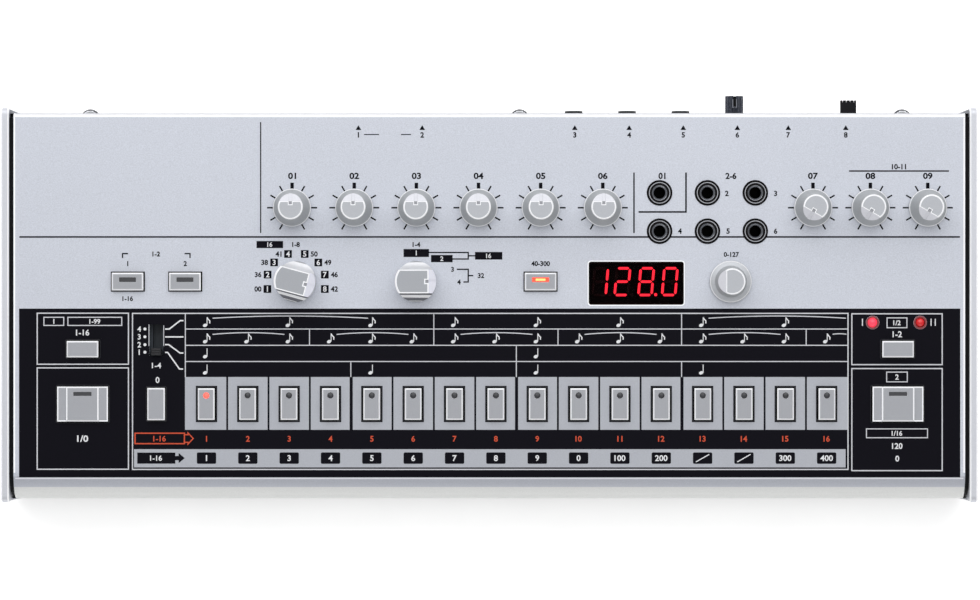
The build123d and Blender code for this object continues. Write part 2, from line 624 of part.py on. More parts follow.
# ------------------------------------------------------------------ feet and screws
with BuildPart() as rubber_feet:
    with BuildSketch(Plane.XY):
        with Locations(*[(x, y) for x in (-foot_x, foot_x) for y in foot_rows]):
            Circle(FOOT_RADIUS)
    extrude(amount=FOOT_HEIGHT)
    chamfer(rubber_feet.edges().group_by(Axis.Z)[0], length=FOOT_BEVEL)
save(rubber_feet, "rubber_feet")

with BuildPart() as case_screws:
    with BuildSketch(Plane.XY.offset(FOOT_HEIGHT + SCREW_SUNK)):
        with Locations(*case_screw_spots):
            Circle(SCREW_HEAD)
    extrude(amount=SCREW_HEAD_RISE - SCREW_SUNK)
    with BuildSketch(Plane.XY.offset(FOOT_HEIGHT + SCREW_HEAD_RISE)):
        with Locations(*case_screw_spots):
            Circle(SCREW_RADIUS)
    extrude(amount=CASE_SCREW_LENGTH - SCREW_HEAD_RISE)
    # domed heads on the rear flange
    dome_edge, dome_rise = REAR_SCREW_HEAD
    dome_radius = (dome_edge**2 + dome_rise**2) / (2 * dome_rise)
    for u in REAR_SCREWS:
        head = rear_spot(u)
        with BuildSketch(upright(head)):
            with BuildLine():
                Polyline((0, dome_rise), (0, 0), (dome_edge, 0))
                RadiusArc((dome_edge, 0), (0, dome_rise), -dome_radius)
            make_face()
        revolve(axis=Axis(head.origin, head.z_dir))
    with BuildSketch(REAR):
        with Locations(*rear_screw_spots):
            Circle(SCREW_RADIUS)
    extrude(amount=-REAR_SCREW_LENGTH)
save(case_screws, "case_screws")

# ------------------------------------------------------------------ circuit boards and what they carry
with BuildPart() as control_board:
    with BuildSketch(PANEL.offset(-BOARD_DEPTH)):
        with Locations((0, sum(BOARD_W) / 2)):
            RectangleRounded(2 * BOARD_HALF, BOARD_W[1] - BOARD_W[0], BOARD_CORNER)
        with Locations(*trigger_spots):
            Rectangle(TRIGGER_BODY[0] + 2 * FIT, TRIGGER_BODY[1] + 2 * FIT, mode=Mode.SUBTRACT)
    extrude(amount=-BOARD)
save(control_board, "control_board")

with BuildPart() as jack_board:
    with BuildSketch(PANEL.offset(-JACK_BOARD_DEPTH)):
        with Locations((sum(JACK_BOARD_U) / 2, sum(JACK_BOARD_W) / 2)):
            RectangleRounded(JACK_BOARD_U[1] - JACK_BOARD_U[0], JACK_BOARD_LENGTH, BOARD_CORNER)
    extrude(amount=-BOARD)
save(jack_board, "jack_board")

with BuildPart() as display_window:
    with BuildSketch(PANEL.offset(-DISPLAY_SUNK)):
        with Locations((DISPLAY_U, DISPLAY_W)):
            RectangleRounded(*DISPLAY, DISPLAY_CORNER)
    extrude(amount=DISPLAY_SUNK - SHEET)
    with BuildSketch(PANEL.offset(-SHEET)):
        with Locations((DISPLAY_U, DISPLAY_W)):
            Rectangle(DISPLAY[0] + 2 * DISPLAY_LEDGE, DISPLAY[1] + 2 * DISPLAY_LEDGE)
    extrude(amount=-DISPLAY_FLANGE)
save(display_window, "display_window")

with BuildPart() as display_module:
    with BuildSketch(PANEL.offset(-BOARD_DEPTH)):
        with Locations((DISPLAY_U, DISPLAY_W)):
            Rectangle(*DIGIT_BLOCK)
    extrude(amount=BOARD_DEPTH - SHEET - DISPLAY_FLANGE)
save(display_module, "display_module")

with BuildPart() as indicator_leds:
    collar = (LED_RADIUS + LED_COLLAR[0], LED_COLLAR[1] - BOARD_DEPTH)
    top = LED_PROUD - LED_RADIUS
    for place in led_spots:
        led = spot(*place)
        with BuildSketch(upright(led)):
            with BuildLine():
                Polyline(
                    (0, -BOARD_DEPTH), (collar[0], -BOARD_DEPTH), collar,
                    (LED_RADIUS, collar[1]), (LED_RADIUS, top),
                )
                CenterArc((0, top), LED_RADIUS, 0, 90)
                Line((0, LED_PROUD), (0, -BOARD_DEPTH))
            make_face()
        revolve(axis=Axis(led.origin, led.z_dir))
save(indicator_leds, "indicator_leds")

with BuildPart() as rotary_controls:
    with BuildSketch(PANEL.offset(-BOARD_DEPTH)):
        with Locations(*small_spots):
            Rectangle(*POT_BODY)
        with Locations(*large_spots):
            Rectangle(SELECTOR_BODY, SELECTOR_BODY)
    extrude(amount=POT_RISE)
    with BuildSketch(PANEL):
        with Locations(*small_spots, *large_spots):
            Circle(SHAFT_RADIUS + RUNNING)
    extrude(amount=-SHAFT_END - FIT, mode=Mode.SUBTRACT)
    # volume control, standing on the jack board behind the rear flange
    volume_rise = SOCKET_RISE + POT_BODY[0] / 2
    volume_mid = SOCKET_RISE - volume_rise / 2
    with BuildSketch(REAR.offset(-SHEET)):
        with Locations((-VOLUME_U, -volume_mid)):
            Rectangle(POT_BODY[0], volume_rise)
    extrude(amount=-POT_BODY[1])
    with BuildSketch(REAR):
        with Locations((-VOLUME_U, 0)):
            Circle(VOLUME_SHAFT + RUNNING)
    extrude(amount=-SHEET - SHAFT_END - FIT, mode=Mode.SUBTRACT)
save(rotary_controls, "rotary_controls")

with BuildPart() as tact_switches:
    with BuildSketch(PANEL.offset(-BOARD_DEPTH)):
        with Locations(*[place for _, place, _ in BUTTONS]):
            Rectangle(TACT, TACT)
    extrude(amount=TACT_RISE)
    with BuildSketch(PANEL.offset(TACT_RISE - BOARD_DEPTH)):
        with Locations(*[place for _, place, _ in BUTTONS]):
            Circle(STEM_RADIUS + PLUNGER_GAP)
    extrude(amount=-PLUNGER_WELL, mode=Mode.SUBTRACT)
save(tact_switches, "tact_switches")

# ------------------------------------------------------------------ slide switches
with BuildPart() as slide_switches:
    # scale switch on the control board, its channel as long as the travel
    with BuildSketch(PANEL.offset(-BOARD_DEPTH)):
        with Locations((FUNCTION_U, SCALE_W)):
            Rectangle(SCALE_KNOB[0] + 2 * SWITCH_WALL, SCALE_SLOT[1] + 2 * SWITCH_WALL)
    extrude(amount=SWITCH_RISE)
    with BuildSketch(PANEL.offset(SWITCH_RISE - BOARD_DEPTH)):
        with Locations((FUNCTION_U, SCALE_W)):
            Rectangle(SCALE_STEM[0] + 2 * FIT, SCALE_SLOT[1])
    extrude(amount=SWITCH_WALL - SWITCH_RISE, mode=Mode.SUBTRACT)
    # power switch behind the rear flange, standing on the jack board
    power_rise = SOCKET_RISE + power_slot[1] / 2 + SWITCH_WALL
    with BuildSketch(REAR.offset(-SHEET)):
        with Locations((-power_slot_u, power_rise / 2 - SOCKET_RISE)):
            Rectangle(power_slot[0] + 2 * SWITCH_WALL, power_rise)
    extrude(amount=-SWITCH_RISE - SWITCH_WALL)
    with BuildSketch(REAR.offset(-SHEET)):
        with Locations((-power_slot_u, 0)):
            Rectangle(*power_slot)
    extrude(amount=-SWITCH_RISE, mode=Mode.SUBTRACT)
save(slide_switches, "slide_switches")

with BuildPart() as scale_slider:
    # it rests at the front end of its slot
    knob_w = SCALE_W - SCALE_TRAVEL / 2
    with BuildSketch(spot(FUNCTION_U, knob_w).offset(SCALE_PROUD)):
        Rectangle(*SCALE_KNOB)
    extrude(amount=-SCALE_PROUD - SHEET - FIT)
    chamfer(scale_slider.faces().sort_by(UP)[-1].edges(), length=GRIP)
    with BuildSketch(spot(FUNCTION_U, knob_w).offset(SCALE_PROUD)):
        with GridLocations(0, GRIP_PITCH, 1, 2):
            Rectangle(SCALE_KNOB[0], GRIP)
    extrude(amount=-GRIP, mode=Mode.SUBTRACT)
    with BuildSketch(spot(FUNCTION_U, knob_w).offset(-SHEET - FIT)):
        Rectangle(*SCALE_STEM)
    extrude(amount=SWITCH_WALL + FIT - BOARD_DEPTH + SHEET + FIT)
save(scale_slider, "scale_slider")

with BuildPart() as power_slider:
    with BuildSketch(rear_spot(POWER_U).offset(POWER_REACH)):
        Rectangle(*POWER_TAB)
    extrude(amount=-POWER_REACH - SHEET - SWITCH_RISE + FIT)
    # gripping grooves across its end
    with BuildSketch(rear_spot(POWER_U).offset(POWER_REACH)):
        with GridLocations(2 * GRIP_PITCH - GRIP, 0, 4, 1):
            Rectangle(GRIP, POWER_TAB[1])
    extrude(amount=-2 * GRIP, mode=Mode.SUBTRACT)
save(power_slider, "power_slider")

# ------------------------------------------------------------------ sockets
jack_depth = JACK_MOUTH + PLUG_BORE + JACK_END

with BuildPart() as trigger_jacks:
    with BuildSketch(PANEL.offset(-SHEET)):
        with Locations(*trigger_spots):
            Rectangle(*TRIGGER_BODY)
    extrude(amount=TRIGGER_PROUD + SHEET - jack_depth)
    with BuildSketch(PANEL.offset(TRIGGER_PROUD)):
        with Locations(*trigger_spots):
            Circle(TRIGGER_RING)
    extrude(amount=-TRIGGER_PROUD - SHEET)
    with BuildSketch(PANEL.offset(TRIGGER_PROUD)):
        with Locations(*trigger_spots):
            Circle(PLUG_RADIUS)
    extrude(amount=-JACK_MOUTH - PLUG_BORE, mode=Mode.SUBTRACT)
    chamfer(trigger_jacks.faces().group_by(UP)[-1].edges().group_by(SortBy.RADIUS)[0], length=JACK_MOUTH)
save(trigger_jacks, "trigger_jacks")

with BuildPart() as audio_jacks:
    with BuildSketch(REAR.offset(-SHEET)):
        with Locations(*[(-u, AUDIO_BODY[1] / 2 - SOCKET_RISE) for u in AUDIO_U]):
            Rectangle(*AUDIO_BODY)
    extrude(amount=AUDIO_PROUD + SHEET - jack_depth)
    with BuildSketch(REAR.offset(AUDIO_PROUD)):
        with Locations(*audio_spots):
            Circle(AUDIO_RING)
    extrude(amount=-AUDIO_PROUD - SHEET)
    with BuildSketch(REAR.offset(AUDIO_PROUD)):
        with Locations(*audio_spots):
            Circle(PLUG_RADIUS)
    extrude(amount=-JACK_MOUTH - PLUG_BORE, mode=Mode.SUBTRACT)
    chamfer(audio_jacks.faces().group_by(BACK)[-1].edges().group_by(SortBy.RADIUS)[0], length=JACK_MOUTH)
save(audio_jacks, "audio_jacks")

with BuildPart() as midi_sockets:
    with BuildSketch(REAR.offset(-SHEET)):
        with Locations(*[(-u, (MIDI_SHELL - SOCKET_RISE) / 2) for u in MIDI_U]):
            Rectangle(MIDI_BODY, MIDI_SHELL + SOCKET_RISE)
    extrude(amount=-MIDI_BODY_DEPTH)
    with BuildSketch(REAR.offset(MIDI_PROUD)):
        with Locations(*midi_spots):
            Circle(MIDI_SHELL)
    extrude(amount=-SHEET - MIDI_PROUD)
    # ring slot for the plug's shell, round a core with five pin holes
    with BuildSketch(REAR.offset(MIDI_PROUD)):
        with Locations(*midi_spots):
            Circle(MIDI_SLOT[1])
            Circle(MIDI_SLOT[0], mode=Mode.SUBTRACT)
    extrude(amount=-MIDI_SLOT_DEPTH, mode=Mode.SUBTRACT)
    with BuildSketch(REAR.offset(MIDI_PROUD)):
        with Locations(*midi_spots):
            with PolarLocations(MIDI_PIN_CIRCLE, 5, start_angle=0, angular_range=180, endpoint=True):
                Circle(MIDI_PIN_RADIUS)
    extrude(amount=-MIDI_SLOT_DEPTH, mode=Mode.SUBTRACT)
save(midi_sockets, "midi_sockets")

with BuildPart() as usb_socket:
    usb_n = USB_SHELL[1] / 2 - JACK_BOARD_DEPTH
    with BuildSketch(rear_spot(USB_U, usb_n)):
        Rectangle(*USB_SHELL)
    extrude(amount=-USB_LENGTH)
    with BuildSketch(rear_spot(USB_U, usb_n)):
        Rectangle(USB_SHELL[0] - 2 * USB_WALL, USB_SHELL[1] - 2 * USB_WALL)
        Rectangle(*USB_TONGUE, mode=Mode.SUBTRACT)
    extrude(amount=-USB_LENGTH + USB_WALL, mode=Mode.SUBTRACT)
save(usb_socket, "usb_socket")

# ------------------------------------------------------------------ speaker and battery compartment
with BuildPart() as speaker:
    speaker_face = Plane(origin=(speaker_x, BAY_Y, floor_top), x_dir=(1, 0, 0), z_dir=(0, 0, 1))
    cone_edge = (SPEAKER_RADIUS - SPEAKER_RIM[0], 0)
    with BuildSketch(upright(speaker_face)):
        with BuildLine():
            Polyline(
                cone_edge, (SPEAKER_RADIUS, 0), (SPEAKER_RADIUS, SPEAKER_RIM[1]),
                (SPEAKER_MAGNET[0], SPEAKER_BASKET), SPEAKER_MAGNET,
                (0, SPEAKER_MAGNET[1]), (0, SPEAKER_CONE[1]), SPEAKER_CONE, cone_edge,
            )
        make_face()
    revolve(axis=Axis(speaker_face.origin, speaker_face.z_dir))
save(speaker, "speaker")

with BuildPart() as battery_contacts:
    for end in (-1, 1):
        for row in (-1, 1):
            cell_y = BAY_Y + row * BAY[1] / 4
            face = Plane(
                origin=(end * BAY[0] / 2, cell_y, floor_top + BAY_RISE / 2),
                x_dir=(0, 1, 0), z_dir=(-end, 0, 0),
            )
            with BuildSketch(face):
                Rectangle(BAY[1] / 2 - 2 * CONTACT_INSET, BAY_RISE - 2 * CONTACT_INSET)
            extrude(amount=CONTACT)
            with BuildSketch(face.offset(CONTACT)):
                Circle(CONTACT_BUTTON[0])
            extrude(amount=CONTACT_BUTTON[1])
save(battery_contacts, "battery_contacts")

# lid with two hooked tabs at its rear edge, which it swings on
lid_top = FOOT_HEIGHT + LID
lid_front = BAY_Y - lid_size[1] / 2
lid_rear = BAY_Y + lid_size[1] / 2
tab_under = floor_top + LID_GAP
tab_top = tab_under + LID_TAB_RISE
tab_tip = lid_rear + LID_TAB_REACH
with BuildPart() as battery_cover:
    with BuildSketch(Plane.XY.offset(FOOT_HEIGHT)):
        with Locations((0, BAY_Y)):
            Rectangle(*lid_size)
        # slots beside the spring tongue of the latch
        with Locations((0, lid_front + LATCH[1] / 2)):
            with GridLocations(LATCH[0] + LATCH_SLOT, 0, 2, 1):
                Rectangle(LATCH_SLOT, LATCH[1], mode=Mode.SUBTRACT)
    extrude(amount=LID)
    with BuildSketch(Plane.XY.offset(FOOT_HEIGHT)):
        with Locations((0, lid_front + LATCH[1] / 2)):
            SlotOverall(*LATCH_GRIP)
    extrude(amount=LATCH_GRIP_DEPTH, mode=Mode.SUBTRACT)
    for x in (-LID_TAB_X, LID_TAB_X):
        with BuildSketch(Plane.YZ.offset(x)):
            with BuildLine():
                Polyline(
                    (lid_rear - LID_TAB_FOOT, lid_top), (lid_rear - LID_TAB_FOOT, tab_top),
                    (tab_tip, tab_top), (tab_tip, tab_under), (lid_rear, tab_under),
                    (lid_rear, lid_top), close=True,
                )
            make_face()
        extrude(amount=LID_TAB / 2, both=True)
save(battery_cover, "battery_cover")


# ------------------------------------------------------------------ knobs
def knob(name, base, profile, chord, slope, bar=None, grooved=True):
    """Turned knob with a slanted pointer facet, pressed on its control's shaft.

    profile holds (radius, height) points from the skirt to the top, chord is how far from the axis
    the facet starts, and bar is the width that a selector keeps between its two scooped sides.
    A grooved knob has a line down its facet.
    """
    height = profile[-1][1]
    widest = max(radius for radius, _ in profile)
    socket_top = height - KNOB_CROWN
    facet_foot = (chord + widest, height - widest * slope)
    notch = chord - POINTER_WIDTH
    over = height + OVERCUT
    with BuildPart() as body:
        with BuildSketch(upright(base)):
            with BuildLine():
                Polyline((0, profile[0][1]), *profile, (0, height), close=True)
            make_face()
        revolve(axis=Axis(base.origin, base.z_dir))
        if bar:
            scoop = widest - bar / 2
            ledge = KNOB_GAP + SELECTOR_RIM
            for side in (-1, 1):
                flank = side * bar / 2
                outside = side * (widest + OVERCUT)
                with BuildSketch(upright(base)):
                    with BuildLine():
                        Line((flank, over), (flank, ledge + scoop))
                        ThreePointArc(
                            (flank, ledge + scoop),
                            (flank + side * SCOOP_BOW * scoop, ledge + SCOOP_BOW * scoop),
                            (side * widest, ledge),
                        )
                        Polyline(
                            (side * widest, ledge), (outside, ledge),
                            (outside, over), (flank, over),
                        )
                    make_face()
                extrude(amount=2 * widest, both=True, mode=Mode.SUBTRACT)
        # slanted facet on the side that the knob points to
        with BuildSketch(across(base)):
            with BuildLine():
                Polyline(
                    (chord, height), facet_foot,
                    (facet_foot[0], over), (chord, over), close=True,
                )
            make_face()
        extrude(amount=2 * widest, both=True, mode=Mode.SUBTRACT)
        # line that runs down the facet from a notch in the top
        if grooved:
            with BuildSketch(across(base)):
                with BuildLine():
                    Polyline(
                        (notch, height), (notch, height - POINTER_DEPTH),
                        (chord, height - POINTER_DEPTH), (facet_foot[0], facet_foot[1] - POINTER_DEPTH),
                        (facet_foot[0], height), close=True,
                    )
                make_face()
            extrude(amount=POINTER_WIDTH / 2, both=True, mode=Mode.SUBTRACT)
        # socket, and the shaft that reaches down into the control
        with BuildSketch(base.offset(KNOB_GAP)):
            Circle(SHAFT_RADIUS + PRESS)
        extrude(amount=socket_top - KNOB_GAP, mode=Mode.SUBTRACT)
        with BuildSketch(base.offset(-SHAFT_END)):
            Circle(SHAFT_RADIUS)
        extrude(amount=SHAFT_END + socket_top - PRESS)
    save(body, name)


rim_top = KNOB_GAP + KNOB_RIM
step_top = rim_top + KNOB_STEP
SMALL_PROFILE = [
    (SMALL_KNOB_RADIUS - KNOB_EDGE, KNOB_GAP),
    (SMALL_KNOB_RADIUS, KNOB_GAP + KNOB_EDGE),
    (SMALL_KNOB_RADIUS, rim_top),
    (SMALL_KNOB_RADIUS - KNOB_STEP, step_top),
    (SMALL_KNOB_TOP, SMALL_KNOB_HEIGHT - KNOB_BEVEL),
    (SMALL_KNOB_TOP - KNOB_BEVEL, SMALL_KNOB_HEIGHT),
]
VALUE_PROFILE = [
    (VALUE_FLANGE_RADIUS - KNOB_EDGE, KNOB_GAP),
    (VALUE_FLANGE_RADIUS, KNOB_GAP + KNOB_EDGE),
    (VALUE_FLANGE_RADIUS, rim_top),
    (VALUE_FLANGE_RADIUS - KNOB_STEP, step_top),
    (VALUE_KNOB_RADIUS, step_top + VALUE_FLANGE_RISE),
    (VALUE_KNOB_TOP, VALUE_KNOB_HEIGHT - KNOB_BEVEL),
    (VALUE_KNOB_TOP - KNOB_BEVEL, VALUE_KNOB_HEIGHT),
]
SELECTOR_PROFILE = [
    (SELECTOR_RADIUS - KNOB_EDGE, KNOB_GAP),
    (SELECTOR_RADIUS, KNOB_GAP + KNOB_EDGE),
    (SELECTOR_RADIUS, SELECTOR_HEIGHT - KNOB_BEVEL),
    (SELECTOR_RADIUS - KNOB_BEVEL, SELECTOR_HEIGHT),
]
small_chord = FACET_CHORD * SMALL_KNOB_TOP
for part_name, place in zip(LEVEL_KNOBS, level_spots):
    knob(f"{part_name}_knob", spot(*place), SMALL_PROFILE, small_chord, SMALL_SLOPE)
for part_name, place in zip(EFFECT_KNOBS, effect_spots):
    knob(f"{part_name}_knob", spot(*place, EFFECT_TURN), SMALL_PROFILE, small_chord, SMALL_SLOPE)
value_base = spot(VALUE_U, MIDDLE_W, VALUE_TURN)
value_chord = FACET_CHORD * VALUE_KNOB_TOP
knob("value_knob", value_base, VALUE_PROFILE, value_chord, SMALL_SLOPE, grooved=False)
for part_name, base in (
    ("instrument_selector", spot(INSTRUMENT_U, MIDDLE_W, INSTRUMENT_TURN)),
    ("mode_selector", spot(MODE_U, MIDDLE_W, MODE_TURN)),
):
    chord = SELECTOR_CHORD * SELECTOR_RADIUS
    knob(part_name, base, SELECTOR_PROFILE, chord, SELECTOR_SLOPE, SELECTOR_BAR)

with BuildPart() as volume_knob:
    volume_base = rear_spot(VOLUME_U)
    with BuildSketch(volume_base.offset(FIT)):
        Circle(VOLUME_RADIUS)
        with PolarLocations(VOLUME_RADIUS + FLUTE_OUT, VOLUME_FLUTES):
            Circle(FLUTE_RADIUS, mode=Mode.SUBTRACT)
    extrude(amount=VOLUME_REACH - FIT)
    # line across its end and down its side that shows where it points
    with BuildSketch(volume_base.offset(VOLUME_REACH)):
        with Locations((0, VOLUME_RADIUS / 2)):
            Rectangle(POINTER_WIDTH, VOLUME_RADIUS)
    extrude(amount=-POINTER_DEPTH, mode=Mode.SUBTRACT)
    with BuildSketch(volume_base.offset(VOLUME_REACH)):
        with Locations((0, VOLUME_RADIUS)):
            Rectangle(POINTER_WIDTH, 2 * POINTER_DEPTH)
    extrude(amount=-VOLUME_LINE, mode=Mode.SUBTRACT)
    with BuildSketch(volume_base.offset(FIT)):
        Circle(VOLUME_SHAFT)
    extrude(amount=-FIT - SHEET - SHAFT_END)
save(volume_knob, "volume_knob")


# ------------------------------------------------------------------ push buttons
def push_button(name, place, cap):
    """Cap in its opening, flange under the panel, and a plunger that enters the switch."""
    base = spot(*place)
    flange_top = -SHEET - FLANGE_GAP
    plunger_end = TACT_RISE - BOARD_DEPTH - PLUNGER_REACH
    with BuildPart() as button:
        with BuildSketch(base.offset(CAP_PROUD)):
            Rectangle(*cap)
        extrude(amount=flange_top - CAP_PROUD)
        chamfer(button.faces().sort_by(UP)[-1].edges(), length=CAP_BEVEL)
        with BuildSketch(base.offset(flange_top)):
            Rectangle(*[side + 2 * (CAP_GAP + FLANGE_LIP) for side in cap])
        extrude(amount=-FLANGE)
        with BuildSketch(base.offset(flange_top - FLANGE)):
            Circle(STEM_RADIUS)
        extrude(amount=plunger_end - flange_top + FLANGE)
        if cap == STEP_CAP:
            with BuildSketch(base.offset(CAP_PROUD)):
                with Locations((0, STEP_LIGHT_W)):
                    Circle(STEP_LIGHT_RADIUS)
            extrude(amount=-LIGHT_DEPTH, mode=Mode.SUBTRACT)
        if cap == MENU_CAP:
            with BuildSketch(base.offset(CAP_PROUD)):
                with Locations((0, MENU_LIGHT_W)):
                    Rectangle(*MENU_LIGHT)
            extrude(amount=-LIGHT_DEPTH, mode=Mode.SUBTRACT)
        if cap == BIG_CAP:
            with BuildSketch(base.offset(CAP_PROUD)):
                for side in (-1, 1):
                    with Locations((side * (cap[0] - BIG_SHOULDER) / 2, 0)):
                        Rectangle(BIG_SHOULDER, cap[1])
            extrude(amount=-BIG_SHOULDER_DROP, mode=Mode.SUBTRACT)
            with BuildSketch(base.offset(CAP_PROUD)):
                with Locations((0, BIG_LIGHT_W)):
                    Rectangle(*BIG_LIGHT)
            extrude(amount=-LIGHT_DEPTH, mode=Mode.SUBTRACT)
    save(button, name)


for button_name, place, cap in BUTTONS:
    push_button(button_name, place, cap)
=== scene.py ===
import json
import math

import bmesh
import bpy
from mathutils import Matrix, Vector

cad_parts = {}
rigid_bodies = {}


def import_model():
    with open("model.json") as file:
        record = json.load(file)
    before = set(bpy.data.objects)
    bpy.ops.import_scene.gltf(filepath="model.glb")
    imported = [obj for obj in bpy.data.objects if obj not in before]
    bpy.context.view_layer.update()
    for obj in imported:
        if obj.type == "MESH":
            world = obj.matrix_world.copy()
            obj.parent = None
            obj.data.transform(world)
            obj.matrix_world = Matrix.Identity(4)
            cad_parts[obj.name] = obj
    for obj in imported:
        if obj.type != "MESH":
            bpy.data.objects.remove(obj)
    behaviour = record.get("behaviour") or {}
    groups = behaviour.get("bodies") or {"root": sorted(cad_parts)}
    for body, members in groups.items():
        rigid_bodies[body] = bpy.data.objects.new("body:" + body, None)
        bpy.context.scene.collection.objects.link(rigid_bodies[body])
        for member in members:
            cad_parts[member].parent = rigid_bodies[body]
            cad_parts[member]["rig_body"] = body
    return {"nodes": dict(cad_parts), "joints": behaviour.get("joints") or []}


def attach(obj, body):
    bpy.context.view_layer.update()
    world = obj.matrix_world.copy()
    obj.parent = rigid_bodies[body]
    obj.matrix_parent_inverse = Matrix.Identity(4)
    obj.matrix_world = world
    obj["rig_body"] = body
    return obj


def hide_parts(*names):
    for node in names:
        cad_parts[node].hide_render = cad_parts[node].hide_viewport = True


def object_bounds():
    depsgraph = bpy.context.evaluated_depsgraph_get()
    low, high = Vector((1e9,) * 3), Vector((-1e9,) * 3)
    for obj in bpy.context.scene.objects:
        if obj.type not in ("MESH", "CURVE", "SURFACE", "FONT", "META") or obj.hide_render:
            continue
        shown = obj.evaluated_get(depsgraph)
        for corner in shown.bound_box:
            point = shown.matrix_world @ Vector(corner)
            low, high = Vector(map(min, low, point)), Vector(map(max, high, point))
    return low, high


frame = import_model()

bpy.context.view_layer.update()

MM = 0.001

# ---------------------------------------------------------------- the panel's frame, in mm
# u runs to the right, w up the slope to the rear, n out of the panel
joints = {j["name"]: j for j in frame["joints"]}
UP = -Vector(joints["step_01_press"]["axis"]).normalized()
ACROSS = Vector((1.0, 0.0, 0.0))
SLOPE = UP.cross(ACROSS).normalized()
ACCENT_U, ACCENT_W = -62.2, 30.6  # place of the accent knob's axis
ORIGIN = Vector(joints["accent_turn"]["pos_m"]) - ACROSS * (ACCENT_U * MM) - SLOPE * (ACCENT_W * MM)


def local(p):
    """(u, w, n) of a world point."""
    d = (Vector(p) - ORIGIN) / MM
    return Vector((d.dot(ACROSS), d.dot(SLOPE), d.dot(UP)))


def span(node, over=-math.inf):
    """Lowest and highest (u, w, n) of a CAD node's vertices that lie over a height."""
    pts = [local(v.co) for v in frame["nodes"][node].data.vertices]
    pts = [p for p in pts if p.z > over]
    return (
        Vector([min(p[i] for p in pts) for i in range(3)]),
        Vector([max(p[i] for p in pts) for i in range(3)]),
    )


COVER_LOW, COVER_HIGH = span("top_cover")
HALF = COVER_HIGH.x
FRONT_BEND = 8.5          # radius of the front bend
REAR_BEND = 1.4           # radius of the rear bend
BEND_W = COVER_LOW.y + FRONT_BEND
OVER_PANEL = 0.3          # n over which a piece stands clear of the sheet


def panel(u, w, n=0.0):
    """The world point of a place on the panel. Past the front bend's start it follows the bend."""
    if w < BEND_W:
        turn = math.asin(min(1.0, (BEND_W - w) / FRONT_BEND))
        w = BEND_W - (FRONT_BEND + n) * math.sin(turn)
        n = (FRONT_BEND + n) * math.cos(turn) - FRONT_BEND
    return ORIGIN + ACROSS * (u * MM) + SLOPE * (w * MM) + UP * (n * MM)


def axis_at(joint):
    """(u, w) of a hinge's axis."""
    p = local(joints[joint]["pos_m"])
    return p.x, p.y


# ---------------------------------------------------------------- materials
def linear(colour):
    """Scene-linear values of an 8-bit sRGB colour."""
    out = []
    for c in colour:
        c = c / 255.0
        out.append(c / 12.92 if c <= 0.04045 else ((c + 0.055) / 1.055) ** 2.4)
    return out


def finish_of(
    name, colour, rough=0.45, metal=0.0, grain=0.6, amount=0.04, bump=0.0,
    coat=0.0, glow=0.0, shine=0.5,
):
    """A painted, moulded or metal surface with fine mottling.

    grain is the mottling's size in mm, amount its share of the colour and bump its height in mm.
    """
    mat = bpy.data.materials.new(name)
    mat.use_nodes = True
    nodes, links = mat.node_tree.nodes, mat.node_tree.links
    shader = nodes["Principled BSDF"]
    shader.inputs["Metallic"].default_value = metal
    shader.inputs["Roughness"].default_value = rough
    shader.inputs["Coat Weight"].default_value = coat
    shader.inputs["Specular IOR Level"].default_value = shine
    coords = nodes.new("ShaderNodeTexCoord")
    noise = nodes.new("ShaderNodeTexNoise")
    noise.inputs["Scale"].default_value = 1.0 / (grain * MM)
    noise.inputs["Detail"].default_value = 3.0
    links.new(coords.outputs["Object"], noise.inputs["Vector"])
    ramp = nodes.new("ShaderNodeValToRGB")
    base = linear(colour)
    ramp.color_ramp.elements[0].position = 0.3
    ramp.color_ramp.elements[1].position = 0.7
    ramp.color_ramp.elements[0].color = (*[c * (1 - amount) for c in base], 1)
    ramp.color_ramp.elements[1].color = (*[min(1.0, c * (1 + amount)) for c in base], 1)
    links.new(noise.outputs["Fac"], ramp.inputs["Fac"])
    links.new(ramp.outputs["Color"], shader.inputs["Base Color"])
    if bump:
        lift = nodes.new("ShaderNodeBump")
        lift.inputs["Strength"].default_value = 1.0
        lift.inputs["Distance"].default_value = bump * MM
        links.new(noise.outputs["Fac"], lift.inputs["Height"])
        links.new(lift.outputs["Normal"], shader.inputs["Normal"])
    if glow:
        links.new(ramp.outputs["Color"], shader.inputs["Emission Color"])
        shader.inputs["Emission Strength"].default_value = glow
    return mat


def ribbed(mat, ribs, depth):
    """Adds fine upright ribs round a turned piece, about the middle of its own box."""
    nodes, links = mat.node_tree.nodes, mat.node_tree.links
    coords = nodes.new("ShaderNodeTexCoord")
    shift = nodes.new("ShaderNodeMapping")
    shift.inputs["Location"].default_value = (-0.5, -0.5, 0.0)
    turn = nodes.new("ShaderNodeTexGradient")
    turn.gradient_type = "RADIAL"
    many = nodes.new("ShaderNodeMath")
    many.operation = "MULTIPLY"
    many.inputs[1].default_value = ribs * 2 * math.pi
    wave = nodes.new("ShaderNodeMath")
    wave.operation = "SINE"
    lift = nodes.new("ShaderNodeBump")
    lift.inputs["Distance"].default_value = depth * MM
    links.new(coords.outputs["Generated"], shift.inputs["Vector"])
    links.new(shift.outputs["Vector"], turn.inputs["Vector"])
    links.new(turn.outputs["Fac"], many.inputs[0])
    links.new(many.outputs[0], wave.inputs[0])
    links.new(wave.outputs[0], lift.inputs["Height"])
    links.new(lift.outputs["Normal"], nodes["Principled BSDF"].inputs["Normal"])
    return mat


# shared by the finishes of one kind
SATIN = dict(rough=0.48, metal=0.4, grain=0.35, bump=0.006)
CAP_FACE = dict(metal=0.2, grain=0.3, amount=0.03, bump=0.003)
INKED = dict(rough=0.55, grain=0.4, shine=0.08)
LENS = dict(rough=0.25, grain=0.6, amount=0.1)

